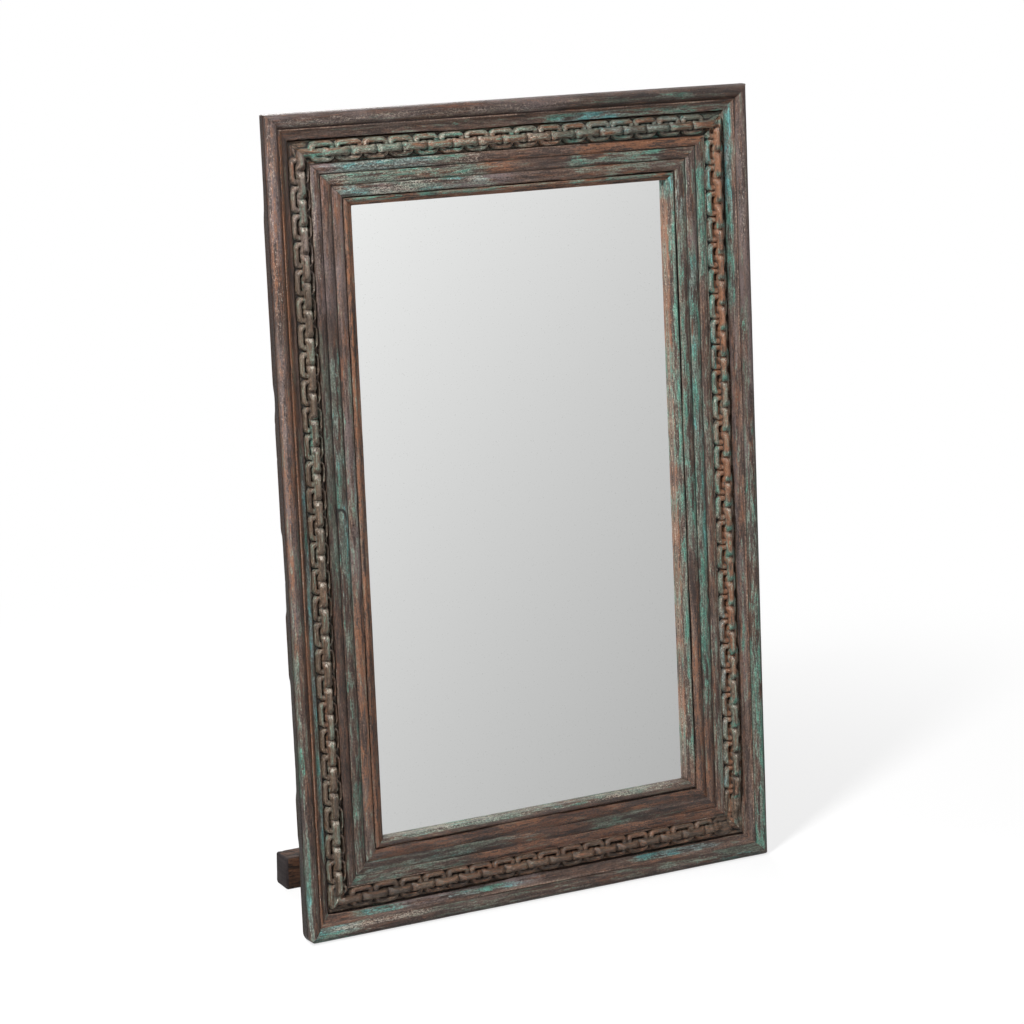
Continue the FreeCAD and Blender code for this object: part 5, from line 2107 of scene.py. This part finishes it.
@dataclass
class Workshop:
    """All finishes, and the way that they go onto the pieces."""

    effects: Effects = field(default_factory=Effects)
    small_parts: tuple[str, ...] = ("hinge_", "moulding_screws", "backing_screws")
    bevel_widths: Span = (0.0002, 0.0012)
    bevel_angle: float = math.radians(40)

    def __post_init__(self) -> None:
        """Mix the finishes."""
        paint, timber, metal, coat = (partial(self.mixed, *kinds) for kinds in (
            (PaintedWood, PaintLook), (BareTimber, TimberLook), (OldMetal, MetalLook),
            (MarkedCoat, MarkedLook)))
        x, y, z = GrainWay
        self.moulding = paint("painted_moulding")
        # a duller copy of the moulding paint, with little sheen, for the outer side in painted shade
        self.moulding_side = paint("painted_moulding_side", wear=0.3, specular=0.15)
        self.carving = paint("painted_carving",
                             {"Brown": "665240", "Dark Brown": "362a1f", "Wax": "756a5c"}, 0.65, 1.25)
        self.bands = paint("painted_bands", wear=0.45)
        self.sight = paint("painted_sight_bead", {"Wax": "7c6c60"}, 0.4)
        self.silver = Silvering("mirror", self.effects)
        self.glass_edge = coat("glass_edge", "4f6b60", "8fb0a2", (300.0,) * 3, 2.0, (0.15, 0.4))
        self.back_paint = coat("mirror_back_paint", "55585a", "6c7072", (40.0, 300.0, 120.0), 3.0,
                               (0.45, 0.65))
        self.rail = timber("back_timber_level", "8b6a4b", "54392a", x, saw_marks=0.5)
        self.stile = timber("back_timber_upright", "87664a", "503628", z, saw_marks=0.5)
        self.strip_level = timber("bare_strip_level", "b08a5f", "80603f", x)
        self.strip_upright = timber("bare_strip_upright", "b08a5f", "80603f", z)
        self.board = timber("backing_board", "a88158", "7b5b3e", z, 0.3, 0.12 * MM)
        self.peg = timber("peg_wood", "7a5639", "4a3222", y, 0.15, 0.1 * MM)
        self.dark_level = timber("dark_timber_level", "5a4434", "2a1f1a", x, 0.18, 0.6 * MM, 0.8, 0.68)
        self.dark_upright = timber("dark_timber_upright", "5a4434", "2e221b", z, 0.2, 0.45 * MM, 0.5, 0.7)
        self.foot = timber("hewn_timber", "543929", "1e130d", x, 0.04, 1.2 * MM, 1.3, 0.62)
        self.foot_end = timber("hewn_end_grain", "2c2526", "171213", y, 0.02, 0.4 * MM, 0.3, 0.75)
        self.iron = metal("hinge_iron", "5b5853", "2b2927", "54321f", 0.02, 0.42)
        self.steel = metal("screw_steel", "9a958c", "6a655d", "5e3a24", -0.05, 0.32)

    def mixed(self, kind: type[Finish], look: type, name: str, *values: object, **more: object) -> Finish:
        """A finish of one kind, with the values of its look."""
        return kind(name, self.effects, look(*values, **more))

    def node_finish(self, node: str) -> Finish:
        """Pick the finish of a node that shows as it is.

        Args:
            node: The node's name.

        Returns:
            Its finish.
        """
        level = node.endswith(("top", "bottom"))
        choices = {
            "back_rail": self.rail, "back_stile": self.stile, "backing_board": self.board,
            "glazing_strip": self.strip_level if level else self.strip_upright,
            "corner_pegs": self.peg, "stand_pegs": self.peg, "hinge_rail_screws": self.steel,
            "hinge_screws": self.steel, "hinge_pin": self.steel, "moulding_screws": self.steel,
            "backing_screws": self.steel, "hinge_fixed_leaf": self.iron, "hinge_moving_leaf": self.iron,
            "hinge_rail": self.dark_level, "stand_stretcher": self.dark_level,
            "stand_leg": self.dark_upright,
        }
        return next(finish for start, finish in choices.items() if node.startswith(start))

    def dress_node(self, node: str, piece: Piece) -> None:
        """Put a node's finish on it and soften its edges.

        Args:
            node: The node's name.
            piece: Its object.
        """
        material = self.node_finish(node).material()
        piece.data.materials.clear()
        piece.data.materials.append(material)
        small = node.startswith(self.small_parts) and node != "hinge_rail"
        softened = piece.modifiers.new("softened_edges", "BEVEL")
        softened.width = self.bevel_widths[not small]
        softened.segments = 1 if small else 2
        softened.limit_method = "ANGLE"
        softened.angle_limit = self.bevel_angle
        softened.use_clamp_overlap = True


def dress_front(layout: FrameLayout, workshop: Workshop) -> None:
    """Build the sixteen carved boards of the front over their nodes.

    Args:
        layout: Where the frame stands.
        workshop: The finishes.
    """
    patches = worn_places()
    makers: list[tuple[Callable[..., CarvedBoard], list[Finish], str]] = [
        (OuterMoulding, [workshop.moulding, workshop.moulding_side], "painted_moulding"),
        (ChainStrip, [workshop.carving], "painted_carving"),
        (InnerMoulding, [workshop.bands], "painted_bands"),
        (SightBead, [workshop.sight], "painted_sight_bead"),
    ]
    for maker, finishes, slot in makers:
        for side in Side:
            board = maker(layout, side)
            piece = board.build(patches, *finishes)
            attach(piece, "mirror_frame")
            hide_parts(board.node)
            log.info("%s: %d faces", piece.name, len(piece.data.polygons))


def dress_glass(layout: FrameLayout, workshop: Workshop) -> None:
    """Build the mirror pane over its node.

    Args:
        layout: Where the frame stands.
        workshop: The finishes.
    """
    pane = MirrorPane(layout).build(workshop.silver, workshop.glass_edge, workshop.back_paint)
    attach(pane, "mirror_frame")
    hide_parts("mirror_glass")
    log.info("%s", pane.name)


def dress_stand(workshop: Workshop) -> None:
    """Build the hewn foot over its node.

    Args:
        workshop: The finishes.
    """
    low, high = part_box("stand_foot")
    foot = HewnBar("hewn_foot", low, high).build(workshop.foot, workshop.foot_end)
    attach(foot, "stand")
    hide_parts("stand_foot")
    log.info("%s", foot.name)


def dress_rest(frame: dict, workshop: Workshop, shown_elsewhere: Iterable[str]) -> None:
    """Finish every node that keeps its own shape.

    Args:
        frame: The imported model.
        workshop: The finishes.
        shown_elsewhere: Starts of the names of replaced nodes.
    """
    for name, piece in frame["nodes"].items():
        if not name.startswith(tuple(shown_elsewhere)):
            workshop.dress_node(name, piece)
            log.info("%s keeps its shape", name)


def main() -> None:
    """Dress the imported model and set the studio."""
    logging.basicConfig(level=logging.INFO, format="%(message)s")
    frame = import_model()
    layout = FrameLayout()
    workshop = Workshop()
    dress_front(layout, workshop)
    dress_glass(layout, workshop)
    dress_stand(workshop)
    dress_rest(frame, workshop, (*BOARD_NODES.values(), "mirror_glass", "stand_foot"))
    Studio().build()
    bpy.context.scene.view_settings.view_transform = "Standard"


if __name__ == "__main__":
    main()
